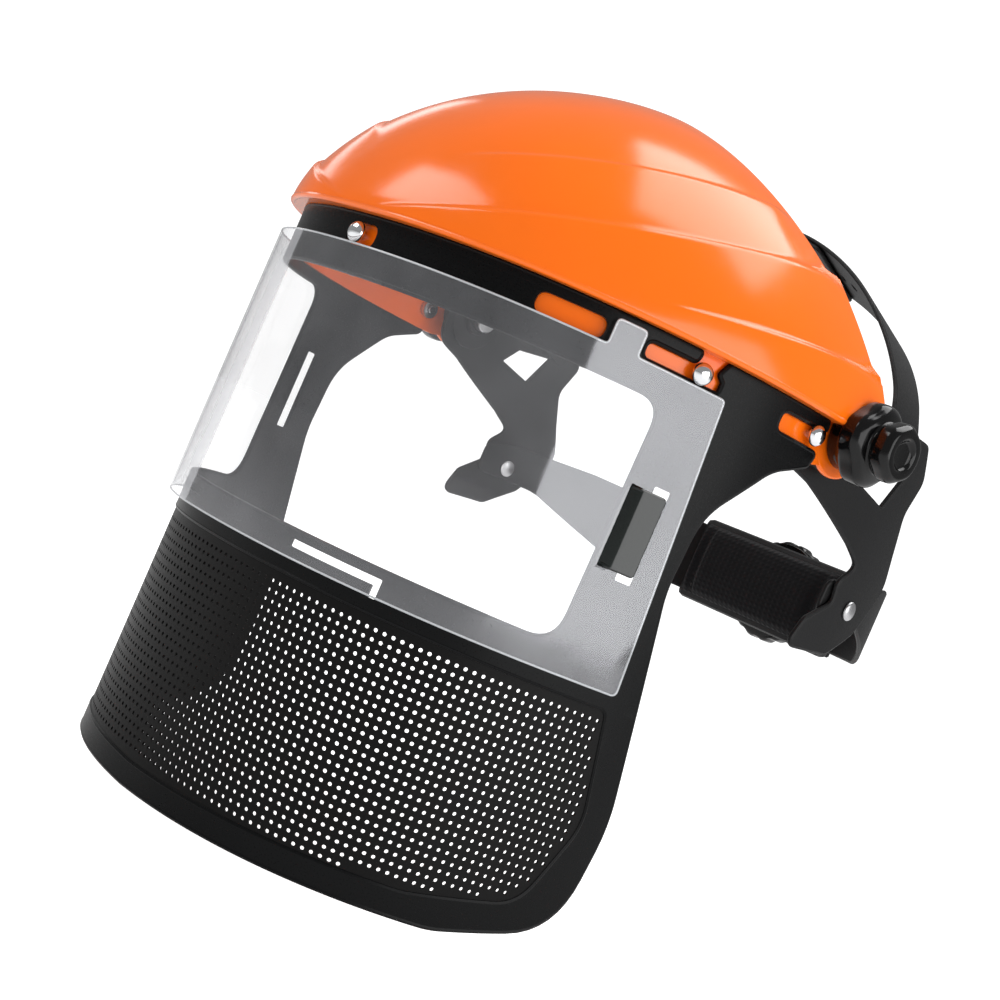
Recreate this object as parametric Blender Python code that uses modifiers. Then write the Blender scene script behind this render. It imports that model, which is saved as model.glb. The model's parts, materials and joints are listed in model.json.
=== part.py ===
"""Face shield with a clear window and a mesh lower half, on a brow guard and a ratchet headgear.

Metres, +Z up, -Y is the front, +X is the wearer's left. The world origin is the centre of the
forehead pad's inner face. Pieces are modelled about the pivot line, a left to right axis through
both temple knobs, and their parent empties carry them to the world frame.
"""
import math

import bmesh
import bpy
from mathutils import Matrix, Vector

MM = 0.001
GAP = 0.3 * MM

# Visor: a flat sheet bent round a superellipse seen from above.
VISOR_HALF_WIDTH = 108 * MM
VISOR_DEPTH = 129.4 * MM
VISOR_CENTRE_Y = -13 * MM
VISOR_ROUNDNESS = 2.21
VISOR_SHEET = 1.8 * MM
VISOR_TOP = 1.2 * MM
VISOR_BOTTOM = -200 * MM
FILM_THICKNESS = 0.6 * MM
FILM_STANDOFF = 4.0 * MM
FILM_TOP = -9.5 * MM
FILM_BOTTOM = -109 * MM
MESH_THICKNESS = 0.9 * MM

# Crown: a dome over the brow, with a flange that carries the visor and an ear at each pivot.
CROWN_HEIGHT = 85 * MM
CROWN_LIP = 4.9 * MM
CROWN_BASE = 2 * MM
CROWN_WALL = 2.4 * MM
CROWN_PLAN_EXPONENT = 1.95
CROWN_RISE_EXPONENT = 1.45
CROWN_LEAN = -11 * MM
CROWN_REAR_START = 17.3 * MM
CROWN_REAR_SLOPE = -0.5865
CROWN_REAR_CURVE = -2.8
FLANGE_WALL = 2.2 * MM
FLANGE_BOTTOM = -14 * MM
LEDGE_TOP = 4.6 * MM
EAR_RADIUS = 15 * MM
STUD_HEIGHT = -5.2 * MM
STUD_HOLE_RADIUS = 1.9 * MM
STUD_PLACES = {
    "centre": 0.0,
    "left_front": 130 * MM,
    "left_rear": 184 * MM,
    "right_front": -130 * MM,
    "right_rear": -184 * MM,
}

# Headgear: one loop round the head, seen from above, and an arched strap over it.
LOOP_HALF_WIDTH = 98 * MM
LOOP_HALF_LENGTH = 103 * MM
LOOP_CENTRE_Y = 37 * MM
LOOP_ROUNDNESS = 2.8
LOOP_REAR_LENGTH = 109 * MM
LOOP_REAR_ROUNDNESS = 2.1
STRAP_SHEET = 2.0 * MM
BAND_BOTTOM = 3 * MM
BAND_TOP = 33 * MM
PAD_THICKNESS = 6.5 * MM
ARCH_HALF_WIDTH = 94.0 * MM
ARCH_HEIGHT = 78 * MM
ARCH_FOOT = 2 * MM
ARCH_SHEET = 1.6 * MM
ARCH_Y = 49 * MM
ARCH_WIDTH = 22 * MM
ARCH_TOP_WIDTH = 34 * MM
ARCH_LEAN = math.radians(16)
ARCH_ROUNDNESS = 1.65
NAPE_TOP = -39 * MM
NAPE_BOTTOM = -71 * MM

# Pivot stack, outwards from the head, as distances from the middle plane.
BOLT_HEAD_FACE = 86 * MM
HUB_INNER = 90.3 * MM
HUB_OUTER = 100 * MM
EAR_INNER = 103.7 * MM
EAR_OUTER = 105.9 * MM
KNOB_BASE = 106.4 * MM
KNOB_MIDDLE = 112.4 * MM
KNOB_WAIST = 122 * MM
KNOB_END = 130.5 * MM
BOLT_END = 121 * MM
BOLT_RADIUS = 3.0 * MM
KNOB_RADIUS = 14.5 * MM
KNOB_NECK_RADIUS = 11.3 * MM
KNOB_LOBE_DEPTH = 0.05
INSERT_RADIUS = 5 * MM
HUB_RADIUS = 13.5 * MM
BOSS_RADIUS = 7 * MM

# Rivets: distances along the loop from its widest point, and heights.
BAND_RIVET = (-28 * MM, 18 * MM)
NAPE_RIVET = (53 * MM, -53 * MM)
STRAP_RIVET = (49 * MM, 8 * MM)
RIVET_SHANK = 1.8 * MM
RIVET_HEAD = 3.6 * MM

# Nape unit: housing, ratchet knob, pinion and the two racks.
NAPE_Y = 131.5 * MM
NAPE_CENTRE_Z = -55 * MM
NAPE_HALF_WIDTH = 42 * MM
NAPE_HALF_HEIGHT = 19 * MM
HOUSING_DEPTH = 8.4 * MM
CHANNEL_HALF_HEIGHT = 16.4 * MM
NAPE_PAD_THICKNESS = 6.5 * MM
RACK_FACE = 2.6 * MM
RACK_SHEET = 2.2 * MM
PINION_SHEET = 3 * MM
SHAFT_RADIUS = 4.2 * MM
DIAL_START = 11.4 * MM
DIAL_DEPTH = 9 * MM
DIAL_RIBS = 18
DIAL_RIB_DEPTH = 0.9 * MM
RACK_END = 36.5 * MM
PINION_TIP = 5.0 * MM
PINION_TEETH = 10
RATCHET_RADIUS = 23 * MM

# The plan curves run to these angles and are cut into flat facets of these lengths.
VISOR_REACH = math.radians(115)
LOOP_REACH = math.radians(170)
ARCH_REACH = math.radians(90)
VISOR_FACET = 12 * MM
LOOP_FACET = 12 * MM
ARCH_FACET = 9 * MM

COLLECTION = "face_shield"
CUTTERS = "face_shield_cutters"
ROUND_STEPS = 20


# ---------------------------------------------------------------- scene and materials


def clear_scene():
    for obj in list(bpy.data.objects):
        bpy.data.objects.remove(obj, do_unlink=True)
    for name in (COLLECTION, CUTTERS):
        bpy.context.scene.collection.children.link(bpy.data.collections.new(name))


def material(name, colour, roughness, metallic=0.0, alpha=1.0):
    made = bpy.data.materials.new(name)
    made.use_nodes = True
    shader = made.node_tree.nodes["Principled BSDF"]
    shader.inputs["Base Color"].default_value = (*colour, 1.0)
    shader.inputs["Roughness"].default_value = roughness
    shader.inputs["Metallic"].default_value = metallic
    shader.inputs["Alpha"].default_value = alpha
    made.diffuse_color = (*colour, alpha)
    return made


def empty(name, location, parent=None):
    made = bpy.data.objects.new(name, None)
    made.location = location
    made.parent = parent
    bpy.data.collections[COLLECTION].objects.link(made)
    return made


def add_object(name, mesh, parent=None, finish=None, collection=COLLECTION):
    made = bpy.data.objects.new(name, mesh)
    made.parent = parent
    bpy.data.collections[collection].objects.link(made)
    if finish is not None:
        mesh.materials.clear()
        mesh.materials.append(finish)
    for polygon in mesh.polygons:
        polygon.use_smooth = True
    mesh.set_sharp_from_angle(angle=math.radians(35))
    return made


def add_cutter(name, mesh, parent=None):
    made = add_object(name, mesh, parent, collection=CUTTERS)
    made.hide_render = True
    made.display_type = "WIRE"
    return made


def combine(obj, other, operation):
    modifier = obj.modifiers.new(other.name, "BOOLEAN")
    modifier.operation = operation
    modifier.object = other
    modifier.solver = "EXACT"


def bevel(obj, width, segments=1):
    modifier = obj.modifiers.new("rounded_edges", "BEVEL")
    modifier.width = width
    modifier.segments = segments
    modifier.limit_method = "ANGLE"
    modifier.angle_limit = math.radians(40)
    modifier.harden_normals = False


# ---------------------------------------------------------------- plan curves


def superellipse(angle, half_width, depth, centre, exponent):
    """Point at this angle from the front, going towards +X."""
    sine, cosine = math.sin(angle), math.cos(angle)
    across = half_width * math.copysign(abs(sine) ** (2 / exponent), sine)
    along = centre - depth * math.copysign(abs(cosine) ** (2 / exponent), cosine)
    return Vector((across, along))


class Wrap:
    """A plan curve as flat facets. place(s, v, h) wraps a flat pattern round it.

    s is the length along the curve from its middle, v the height across it and h the distance
    outwards from it. Facets share their corners' mitre lines, so offset layers stay parallel.
    """

    def __init__(self, curve, reach, facet, outward=1.0, middle_facet=False):
        samples = [curve(reach * k / 4000) for k in range(4001)]
        lengths = [0.0]
        for a, b in zip(samples, samples[1:]):
            lengths.append(lengths[-1] + (b - a).length)
        first = facet if middle_facet else 0.0
        count = int((lengths[-1] - first) / facet)
        stations = [first + facet * k for k in range(count + 1)]
        self.corners = []
        index = 0
        for station in stations:
            while lengths[index + 1] < station:
                index += 1
            span = lengths[index + 1] - lengths[index]
            share = (station - lengths[index]) / span
            self.corners.append((station, samples[index].lerp(samples[index + 1], share)))
        mirrored = [(-s, Vector((-p.x, p.y))) for s, p in self.corners if s > 0]
        self.corners = mirrored[::-1] + self.corners
        self.mitres = self.mitre_vectors(outward)

    def mitre_vectors(self, outward):
        points = [p for _, p in self.corners]
        normals = []
        for a, b in zip(points, points[1:]):
            step = (b - a).normalized()
            normals.append(Vector((step.y, -step.x)) * outward)
        mitres = [normals[0]]
        for a, b in zip(normals, normals[1:]):
            total = a + b
            mitres.append(total * (2 / total.length_squared))
        mitres.append(normals[-1])
        return mitres

    def facet_at(self, s):
        last = len(self.corners) - 2
        for index in range(last + 1):
            if s < self.corners[index + 1][0]:
                return index
        return last

    def point(self, s, h=0.0, rise=None):
        """Plan position; rise(s) adds a further offset that varies along the curve."""
        i = self.facet_at(s)
        (s0, p0), (s1, p1) = self.corners[i], self.corners[i + 1]
        h0, h1 = (h, h) if rise is None else (h + rise(s0), h + rise(s1))
        a = p0 + self.mitres[i] * h0
        b = p1 + self.mitres[i + 1] * h1
        return a.lerp(b, (s - s0) / (s1 - s0))

    def normal(self, s):
        i = self.facet_at(s)
        step = (self.corners[i + 1][1] - self.corners[i][1]).normalized()
        normal = Vector((step.y, -step.x))
        return normal if normal.dot(self.mitres[i]) > 0 else -normal


def visor_curve(angle):
    return superellipse(angle, VISOR_HALF_WIDTH, VISOR_DEPTH, VISOR_CENTRE_Y, VISOR_ROUNDNESS)


def loop_curve(angle):
    """Squarish in front of its widest point and rounder behind it."""
    length, roundness = LOOP_HALF_LENGTH, LOOP_ROUNDNESS
    if math.cos(angle) < 0:
        length, roundness = LOOP_REAR_LENGTH, LOOP_REAR_ROUNDNESS
    return superellipse(angle, LOOP_HALF_WIDTH, length, LOOP_CENTRE_Y, roundness)


def arch_curve(angle):
    point = superellipse(angle, ARCH_HALF_WIDTH, ARCH_HEIGHT - ARCH_FOOT, 0.0, ARCH_ROUNDNESS)
    return Vector((point.x, ARCH_FOOT - point.y))


def length_at(curve, reach, wanted):
    """Length along a curve to where its second coordinate first reaches the wanted value."""
    total, last = 0.0, curve(0.0)
    for k in range(1, 4001):
        here = curve(reach * k / 4000)
        total += (here - last).length
        last = here
        if here.y >= wanted:
            return total
    return total


def length_to_back(half_width):
    """Length along the loop to where it has come in to this distance from the middle plane."""
    total, last = 0.0, loop_curve(0.0)
    for k in range(1, 4001):
        here = loop_curve(math.pi * k / 4000)
        total += (here - last).length
        last = here
        if here.y > LOOP_CENTRE_Y and here.x <= half_width:
            return total
    return total


# ---------------------------------------------------------------- flat patterns


def rounded(corners, steps=5):
    """A closed outline from corners (u, v, radius), each turned by an arc."""
    outline = []
    count = len(corners)
    for index, (u, v, radius) in enumerate(corners):
        here = Vector((u, v))
        before = (Vector(corners[index - 1][:2]) - here)
        after = (Vector(corners[(index + 1) % count][:2]) - here)
        if radius <= 0:
            outline.append(here)
            continue
        half = before.angle(after) / 2
        reach = min(radius / math.tan(half), before.length * 0.49, after.length * 0.49)
        start = here + before.normalized() * reach
        end = here + after.normalized() * reach
        for k in range(steps + 1):
            share = k / steps
            near = start.lerp(here, share)
            far = here.lerp(end, share)
            outline.append(near.lerp(far, share))
    return outline


def slot(u0, u1, v0, v1, radius, steps=3):
    return rounded(((u0, v0, radius), (u1, v0, radius), (u1, v1, radius), (u0, v1, radius)), steps)


def circle(u, v, radius, steps=16):
    turn = math.tau / steps
    return [
        Vector((u + radius * math.cos(k * turn), v + radius * math.sin(k * turn)))
        for k in range(steps)
    ]


def mirrored(half):
    """The closed outline of a half outline that starts and ends on u = 0."""
    return list(half) + [Vector((-p.x, p.y)) for p in reversed(half) if p.x > 0]


def flip(outline):
    return [Vector((-p.x, p.y)) for p in outline]


def pattern_mesh(name, outlines, low, high):
    """Solid with this outline, later outlines being holes, between two heights."""
    data = bpy.data.curves.new(name + "_outline", "CURVE")
    data.dimensions = "2D"
    data.fill_mode = "BOTH"
    data.extrude = (high - low) / 2
    for outline in outlines:
        spline = data.splines.new("POLY")
        spline.points.add(len(outline) - 1)
        for point, place in zip(spline.points, outline):
            point.co = (place.x, place.y, 0.0, 1.0)
        spline.use_cyclic_u = True
    guide = bpy.data.objects.new(name + "_outline", data)
    bpy.context.scene.collection.objects.link(guide)
    graph = bpy.context.evaluated_depsgraph_get()
    mesh = bpy.data.meshes.new_from_object(guide.evaluated_get(graph))
    mesh.transform(Matrix.Translation((0, 0, (high + low) / 2)))
    bpy.data.objects.remove(guide, do_unlink=True)
    mesh.name = name
    solid = bmesh.new()
    solid.from_mesh(mesh)
    bmesh.ops.remove_doubles(solid, verts=solid.verts, dist=1e-6)
    bmesh.ops.recalc_face_normals(solid, faces=solid.faces)
    solid.to_mesh(mesh)
    solid.free()
    return mesh


def wrapped_mesh(name, outlines, low, high, wrap, place, rise=None):
    """A flat pattern folded at the facets of a plan curve; place puts (point, v) in space."""
    mesh = pattern_mesh(name, outlines, low, high)
    solid = bmesh.new()
    solid.from_mesh(mesh)
    for station, _ in wrap.corners:
        everything = solid.verts[:] + solid.edges[:] + solid.faces[:]
        bmesh.ops.bisect_plane(
            solid, geom=everything, dist=1e-6, plane_co=(station, 0, 0), plane_no=(1, 0, 0)
        )
    for vertex in solid.verts:
        s, v, h = vertex.co
        vertex.co = place(wrap.point(s, h, rise), v)
    bmesh.ops.remove_doubles(solid, verts=solid.verts, dist=2e-6)
    bmesh.ops.dissolve_limit(
        solid, angle_limit=math.radians(0.5), verts=solid.verts, edges=solid.edges
    )
    bmesh.ops.triangulate(solid, faces=solid.faces)
    bmesh.ops.recalc_face_normals(solid, faces=solid.faces)
    solid.to_mesh(mesh)
    solid.free()
    return mesh


def upright(point, v):
    return Vector((point.x, point.y, v))


def over_head(point, v):
    """Places the arch (x, z) and v across it, leaning back about the strap rivets."""
    across, above = v - ARCH_Y, point.y - STRAP_RIVET[1]
    sine, cosine = math.sin(ARCH_LEAN), math.cos(ARCH_LEAN)
    y = ARCH_Y + across * cosine + above * sine
    z = STRAP_RIVET[1] - across * sine + above * cosine
    return Vector((point.x, y, z))


def turned_mesh(name, profile, axis, origin, steps=ROUND_STEPS):
    """A solid of revolution from (radius, along) points, from its first end to its last."""
    solid = bmesh.new()
    points = [solid.verts.new((radius, 0.0, along)) for radius, along in profile]
    edges = [solid.edges.new(pair) for pair in zip(points, points[1:])]
    bmesh.ops.spin(
        solid, geom=points + edges, axis=(0, 0, 1), cent=(0, 0, 0), steps=steps, angle=math.tau,
        use_merge=True,
    )
    bmesh.ops.remove_doubles(solid, verts=solid.verts, dist=1e-6)
    bmesh.ops.recalc_face_normals(solid, faces=solid.faces)
    turn = Vector((0, 0, 1)).rotation_difference(Vector(axis)).to_matrix().to_4x4()
    bmesh.ops.transform(solid, matrix=Matrix.Translation(origin) @ turn, verts=solid.verts)
    mesh = bpy.data.meshes.new(name)
    solid.to_mesh(mesh)
    solid.free()
    return mesh


def rod_mesh(name, radius, start, end, steps=ROUND_STEPS):
    start, end = Vector(start), Vector(end)
    length = (end - start).length
    profile = ((0, 0), (radius, 0), (radius, length), (0, length))
    return turned_mesh(name, profile, (end - start).normalized(), start, steps)


def tube_mesh(name, inner, outer, start, end, steps=ROUND_STEPS):
    start, end = Vector(start), Vector(end)
    length = (end - start).length
    profile = ((inner, 0), (outer, 0), (outer, length), (inner, length), (inner, 0))
    return turned_mesh(name, profile, (end - start).normalized(), start, steps)


def box_mesh(name, low, high):
    low, high = Vector(low), Vector(high)
    solid = bmesh.new()
    bmesh.ops.create_cube(solid, size=1.0)
    place = Matrix.Translation((low + high) / 2) @ Matrix.Diagonal((*(high - low), 1.0))
    bmesh.ops.transform(solid, matrix=place, verts=solid.verts)
    mesh = bpy.data.meshes.new(name)
    solid.to_mesh(mesh)
    solid.free()
    return mesh


# ---------------------------------------------------------------- visor


def visor_outline(pivot_s):
    """Top band with two open hooks on each side, pillars, and the rounded lower apron."""
    hook_end = pivot_s - 14 * MM
    half = rounded((
        (0, VISOR_TOP, 0),
        (127 * MM, VISOR_TOP, 1.2 * MM),
        (127 * MM, -2.2 * MM, 0.8 * MM),
        (108.5 * MM, -2.2 * MM, 3.3 * MM),
        (108.5 * MM, -9 * MM, 3.3 * MM),
        (139 * MM, -9 * MM, 1.5 * MM),
        (139 * MM, -4.6 * MM, 1.2 * MM),
        (136.8 * MM, -2.8 * MM, 0.8 * MM),
        (138.6 * MM, VISOR_TOP, 1.2 * MM),
        (hook_end, VISOR_TOP, 1.2 * MM),
        (hook_end, -2 * MM, 0.8 * MM),
        (hook_end - 24 * MM, -2.4 * MM, 3.6 * MM),
        (hook_end - 24 * MM, -10.5 * MM, 3.6 * MM),
        (hook_end, -10.5 * MM, 1.5 * MM),
        (hook_end, -15 * MM, 3 * MM),
        (165 * MM, -27 * MM, 14 * MM),
        (151 * MM, -47 * MM, 24 * MM),
        (150 * MM, -72 * MM, 30 * MM),
        (168 * MM, -148 * MM, 60 * MM),
        (164 * MM, -186 * MM, 26 * MM),
        (120 * MM, -196 * MM, 40 * MM),
        (0, VISOR_BOTTOM, 0),
    ), 4)
    return mirrored(half)


def window_outline():
    half = rounded((
        (0, -18 * MM, 0),
        (122 * MM, -18 * MM, 9 * MM),
        (121 * MM, -101 * MM, 11 * MM),
        (0, -101 * MM, 0),
    ), 3)
    return mirrored(half)


def mesh_outline(inset=0.0):
    half = rounded((
        (0, -114 * MM - inset, 0),
        (148 * MM - inset, -114 * MM - inset, 4 * MM),
        (158 * MM - inset, -152 * MM, 22 * MM),
        (146 * MM - inset, -182 * MM + inset, 16 * MM),
        (107 * MM, -189.5 * MM + inset, 40 * MM),
        (0, -193 * MM + inset, 0),
    ), 3)
    return mirrored(half)


def side_tongue_slot(side):
    """A C-shaped slit that frees the tongue that holds the window's rear edge."""
    inner, outer, high, low = 124 * MM, 137.6 * MM, -43 * MM, -75 * MM
    slit = 2.8 * MM
    corners = (
        (inner, high),
        (outer, high),
        (outer, low),
        (inner, low),
        (inner, low + slit),
        (outer - slit, low + slit),
        (outer - slit, high - slit),
        (inner, high - slit),
    )
    return [Vector((side * u, v)) for u, v in corners]


def bottom_tongue_slot(side):
    """An L-shaped slit under the window that frees the tongue for its lower edge."""
    inner, outer, high, low = 28 * MM, 63 * MM, -103.4 * MM, -110 * MM
    slit = 2.6 * MM
    corners = (
        (inner, high),
        (outer, high),
        (outer, low),
        (outer - slit, low),
        (outer - slit, high - slit),
        (inner, high - slit),
    )
    return [Vector((side * u, v)) for u, v in corners]


def build_visor(wrap, pivot_s, parent, black):
    centre_slot = slot(-6 * MM, 9 * MM, -9.2 * MM, -1.4 * MM, 3.6 * MM)
    band_slot = slot(71.6 * MM, 95.2 * MM, -9 * MM, -2.2 * MM, 3.3 * MM)
    holes = [window_outline(), mesh_outline(), centre_slot, band_slot, flip(band_slot)]
    for side in (1, -1):
        holes.append(side_tongue_slot(side))
        holes.append(bottom_tongue_slot(side))
    mesh = wrapped_mesh(
        "visor_frame", [visor_outline(pivot_s)] + holes, -VISOR_SHEET, 0, wrap, upright
    )
    return add_object("visor_frame", mesh, parent, black)


def build_mesh_panel(wrap, parent, black):
    middle = -VISOR_SHEET / 2
    mesh = wrapped_mesh(
        "mesh_panel", [mesh_outline(GAP)], middle - MESH_THICKNESS / 2,
        middle + MESH_THICKNESS / 2, wrap, upright,
    )
    return add_object("mesh_panel", mesh, parent, black)


def film_rise(s):
    """The film stands away from the visor at the front and lies on it at its rear edges."""
    return FILM_STANDOFF * max(0.0, 1 - (abs(s) / (128 * MM)) ** 3)


def build_film(wrap, parent, clear):
    half = rounded((
        (0, FILM_TOP, 0),
        (97 * MM, FILM_TOP, 1.5 * MM),
        (97 * MM, -1 * MM, 1.5 * MM),
        (107 * MM, -1 * MM, 1.5 * MM),
        (107 * MM, FILM_TOP, 1.5 * MM),
        (141 * MM, FILM_TOP, 1.5 * MM),
        (148 * MM, FILM_BOTTOM, 2 * MM),
        (0, FILM_BOTTOM, 0),
    ), 3)
    mesh = wrapped_mesh(
        "window_film", [mirrored(half)], GAP, GAP + FILM_THICKNESS, wrap, upright, film_rise
    )
    return add_object("window_film", mesh, parent, clear)


# ---------------------------------------------------------------- crown


def dome_mesh():
    """Upper half of a superellipsoid whose foot follows the visor's plan curve."""
    solid = bmesh.new()
    bmesh.ops.create_uvsphere(solid, u_segments=44, v_segments=24, radius=1.0)
    lower = [vertex for vertex in solid.verts if vertex.co.z < -1e-4]
    bmesh.ops.delete(solid, geom=lower, context="VERTS")
    for vertex in solid.verts:
        flat = math.hypot(vertex.co.x, vertex.co.y)
        angle = math.atan2(vertex.co.x, -vertex.co.y)
        reach = flat ** (2 / CROWN_PLAN_EXPONENT)
        rise = max(vertex.co.z, 0.0) ** (2 / CROWN_RISE_EXPONENT)
        foot = superellipse(
            angle, VISOR_HALF_WIDTH + CROWN_LIP, VISOR_DEPTH + CROWN_LIP, 0.0, VISOR_ROUNDNESS
        )
        centre = VISOR_CENTRE_Y + CROWN_LEAN * rise
        vertex.co = (foot.x * reach, centre + foot.y * reach, CROWN_BASE + CROWN_HEIGHT * rise)
    bmesh.ops.recalc_face_normals(solid, faces=solid.faces)
    top = max(solid.faces, key=lambda face: face.calc_center_median().z)
    if top.normal.z < 0:
        bmesh.ops.reverse_faces(solid, faces=solid.faces)
    mesh = bpy.data.meshes.new("crown_shell")
    solid.to_mesh(mesh)
    solid.free()
    return mesh


def rear_cutter_mesh():
    """Everything behind the crown's rear edge, which leans forwards as it rises."""
    heights = [-30 * MM + 10 * MM * k for k in range(15)]
    edge = [
        Vector((CROWN_REAR_START + CROWN_REAR_SLOPE * z + CROWN_REAR_CURVE * z * z, z))
        for z in heights
    ]
    far = 250 * MM
    outline = edge + [Vector((far, heights[-1])), Vector((far, heights[0]))]
    mesh = pattern_mesh("crown_rear_cut", [outline], -200 * MM, 200 * MM)
    turn = Matrix(((0, 0, 1, 0), (1, 0, 0, 0), (0, 1, 0, 0), (0, 0, 0, 1)))
    mesh.transform(turn)
    return mesh


def flange_outline(pivot_s):
    end = pivot_s + 12 * MM
    half = rounded((
        (0, LEDGE_TOP - MM, 0),
        (end, LEDGE_TOP - MM, 0),
        (end, FLANGE_BOTTOM + 6 * MM, 6 * MM),
        (pivot_s - 12 * MM, FLANGE_BOTTOM, 6 * MM),
        (0, FLANGE_BOTTOM, 0),
    ), 4)
    return mirrored(half)


def ledge_outline(pivot_s):
    end = pivot_s + 11 * MM
    corners = ((-end, CROWN_BASE), (end, CROWN_BASE), (end, LEDGE_TOP), (-end, LEDGE_TOP))
    return [Vector(corner) for corner in corners]


def across_rod(name, radius, side, start, end, steps):
    """A rod on the pivot line, between two distances from the middle plane."""
    return rod_mesh(name, radius, (side * start, 0, 0), (side * end, 0, 0), steps)


def side_name(side):
    return "left" if side > 0 else "right"


def build_crown(wrap, pivot_s, parent, orange):
    crown = add_object("crown_shell", dome_mesh(), parent, orange)
    shell = crown.modifiers.new("wall", "SOLIDIFY")
    shell.thickness = CROWN_WALL
    shell.offset = -1
    combine(crown, add_cutter("crown_rear_cut", rear_cutter_mesh(), parent), "DIFFERENCE")
    outer = -VISOR_SHEET - GAP
    flange = wrapped_mesh(
        "flange", [flange_outline(pivot_s)], outer - FLANGE_WALL, outer, wrap, upright
    )
    combine(crown, add_cutter("flange", flange, parent), "UNION")
    ledge = wrapped_mesh(
        "ledge", [ledge_outline(pivot_s)], outer - FLANGE_WALL + 0.2 * MM, CROWN_LIP - MM,
        wrap, upright,
    )
    combine(crown, add_cutter("ledge", ledge, parent), "UNION")
    for side in (1, -1):
        build_ear(crown, side, parent)
    for tag, s in STUD_PLACES.items():
        base = upright(wrap.point(s, -8 * MM), STUD_HEIGHT)
        tip = upright(wrap.point(s, 1 * MM), STUD_HEIGHT)
        hole = rod_mesh("hole", STUD_HOLE_RADIUS, base, tip, 12)
        combine(crown, add_cutter("stud_hole_" + tag, hole, parent), "DIFFERENCE")


def build_ear(crown, side, parent):
    """A round ear at the pivot, with room for the hub inside it and the knob outside it."""
    tag = side_name(side)
    ear = across_rod("ear", EAR_RADIUS, side, EAR_INNER, EAR_OUTER, 28)
    combine(crown, add_cutter("ear_" + tag, ear, parent), "UNION")
    cuts = (
        ("neck_recess_", KNOB_NECK_RADIUS + 1.1 * MM, EAR_OUTER, KNOB_END, 24),
        ("knob_recess_", KNOB_RADIUS + MM, KNOB_MIDDLE - 1.6 * MM, KNOB_END, 24),
        ("hub_clearance_", EAR_RADIUS + 3 * MM, HUB_INNER - 5 * MM, EAR_INNER, 24),
        ("bolt_hole_", BOLT_RADIUS + GAP, BOLT_HEAD_FACE, KNOB_END, 16),
    )
    for name, radius, start, end, steps in cuts:
        cutter = across_rod(name + tag, radius, side, start, end, steps)
        combine(crown, add_cutter(name + tag, cutter, parent), "DIFFERENCE")


def build_studs(wrap, parent, chrome, steel):
    """Domed studs that the visor's slots hook over, each held by a push nut inside."""
    head_base, head_radius, head_height = 0.5 * MM, 3.7 * MM, 2.8 * MM
    shank, tail = 1.6 * MM, -8.2 * MM
    nut_start = -VISOR_SHEET - GAP - FLANGE_WALL - GAP
    dome = [
        (head_radius * math.cos(a), head_base + 0.6 * MM + (head_height - 0.6 * MM) * math.sin(a))
        for a in (math.radians(30 * k) for k in range(4))
    ]
    dome[-1] = (0.0, head_base + head_height)
    profile = [(0, tail), (shank, tail), (shank, head_base), (head_radius, head_base)] + dome
    for tag, s in STUD_PLACES.items():
        normal = wrap.normal(s)
        axis = Vector((normal.x, normal.y, 0))
        origin = upright(wrap.point(s), STUD_HEIGHT)
        mesh = turned_mesh("visor_stud_" + tag, profile, axis, origin, 14)
        add_object("visor_stud_" + tag, mesh, parent, chrome)
        start = origin + axis * nut_start
        end = start - axis * 2.2 * MM
        nut = tube_mesh("stud_nut_" + tag, shank + GAP, 3.8 * MM, start, end, 12)
        add_object("stud_nut_" + tag, nut, parent, steel)


# ---------------------------------------------------------------- headgear


def mirrored_mesh(mesh, name):
    """The same solid on the other side of the middle plane."""
    solid = bmesh.new()
    solid.from_mesh(mesh)
    bmesh.ops.transform(solid, matrix=Matrix.Diagonal((-1, 1, 1, 1)), verts=solid.verts)
    bmesh.ops.reverse_faces(solid, faces=solid.faces)
    copy = bpy.data.meshes.new(name)
    solid.to_mesh(copy)
    solid.free()
    return copy


def add_pair(name, mesh, parents, finish):
    """The left piece and its mirror image on the right."""
    right = mirrored_mesh(mesh, name + "_right")
    left_parent, right_parent = parents
    return (
        add_object(name + "_left", mesh, left_parent, finish),
        add_object(name + "_right", right, right_parent, finish),
    )


def plate_outline(side_s):
    """Temple plate in (length along the loop, height): a hub, a forward lobe for the brow
    band, a rear arm to the top strap, a front arm, and the stem with its slanted nape tab."""
    def at(y, z, radius):
        return (side_s + y * MM, z * MM, radius * MM)

    return rounded((
        at(-16, 6, 3), at(-38, 6, 3), at(-38, 30, 3), at(-22, 30, 6), at(-14, 14, 8),
        at(0, 16.5, 12), at(16, 15, 8), at(38, 14, 4), at(60, 14, 4), at(69, 2, 5),
        at(64, -12, 10), at(70, -27, 14), at(76, -40, 8), at(64, -60, 8), at(50, -70.5, 5),
        at(26, -72.5, 3), at(30, -62, 4), at(42, -53, 5), at(40, -45, 4), at(48, -37, 5),
        at(36, -31, 10), at(2, -18, 8), at(-15, -14, 10), at(-17, 0, 8),
    ), 2)


def plate_window(side_s):
    corners = ((26, -11), (34, -2), (54, 1), (46, -15))
    return rounded([(side_s + y * MM, z * MM, 1.5 * MM) for y, z in corners], 2)


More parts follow.
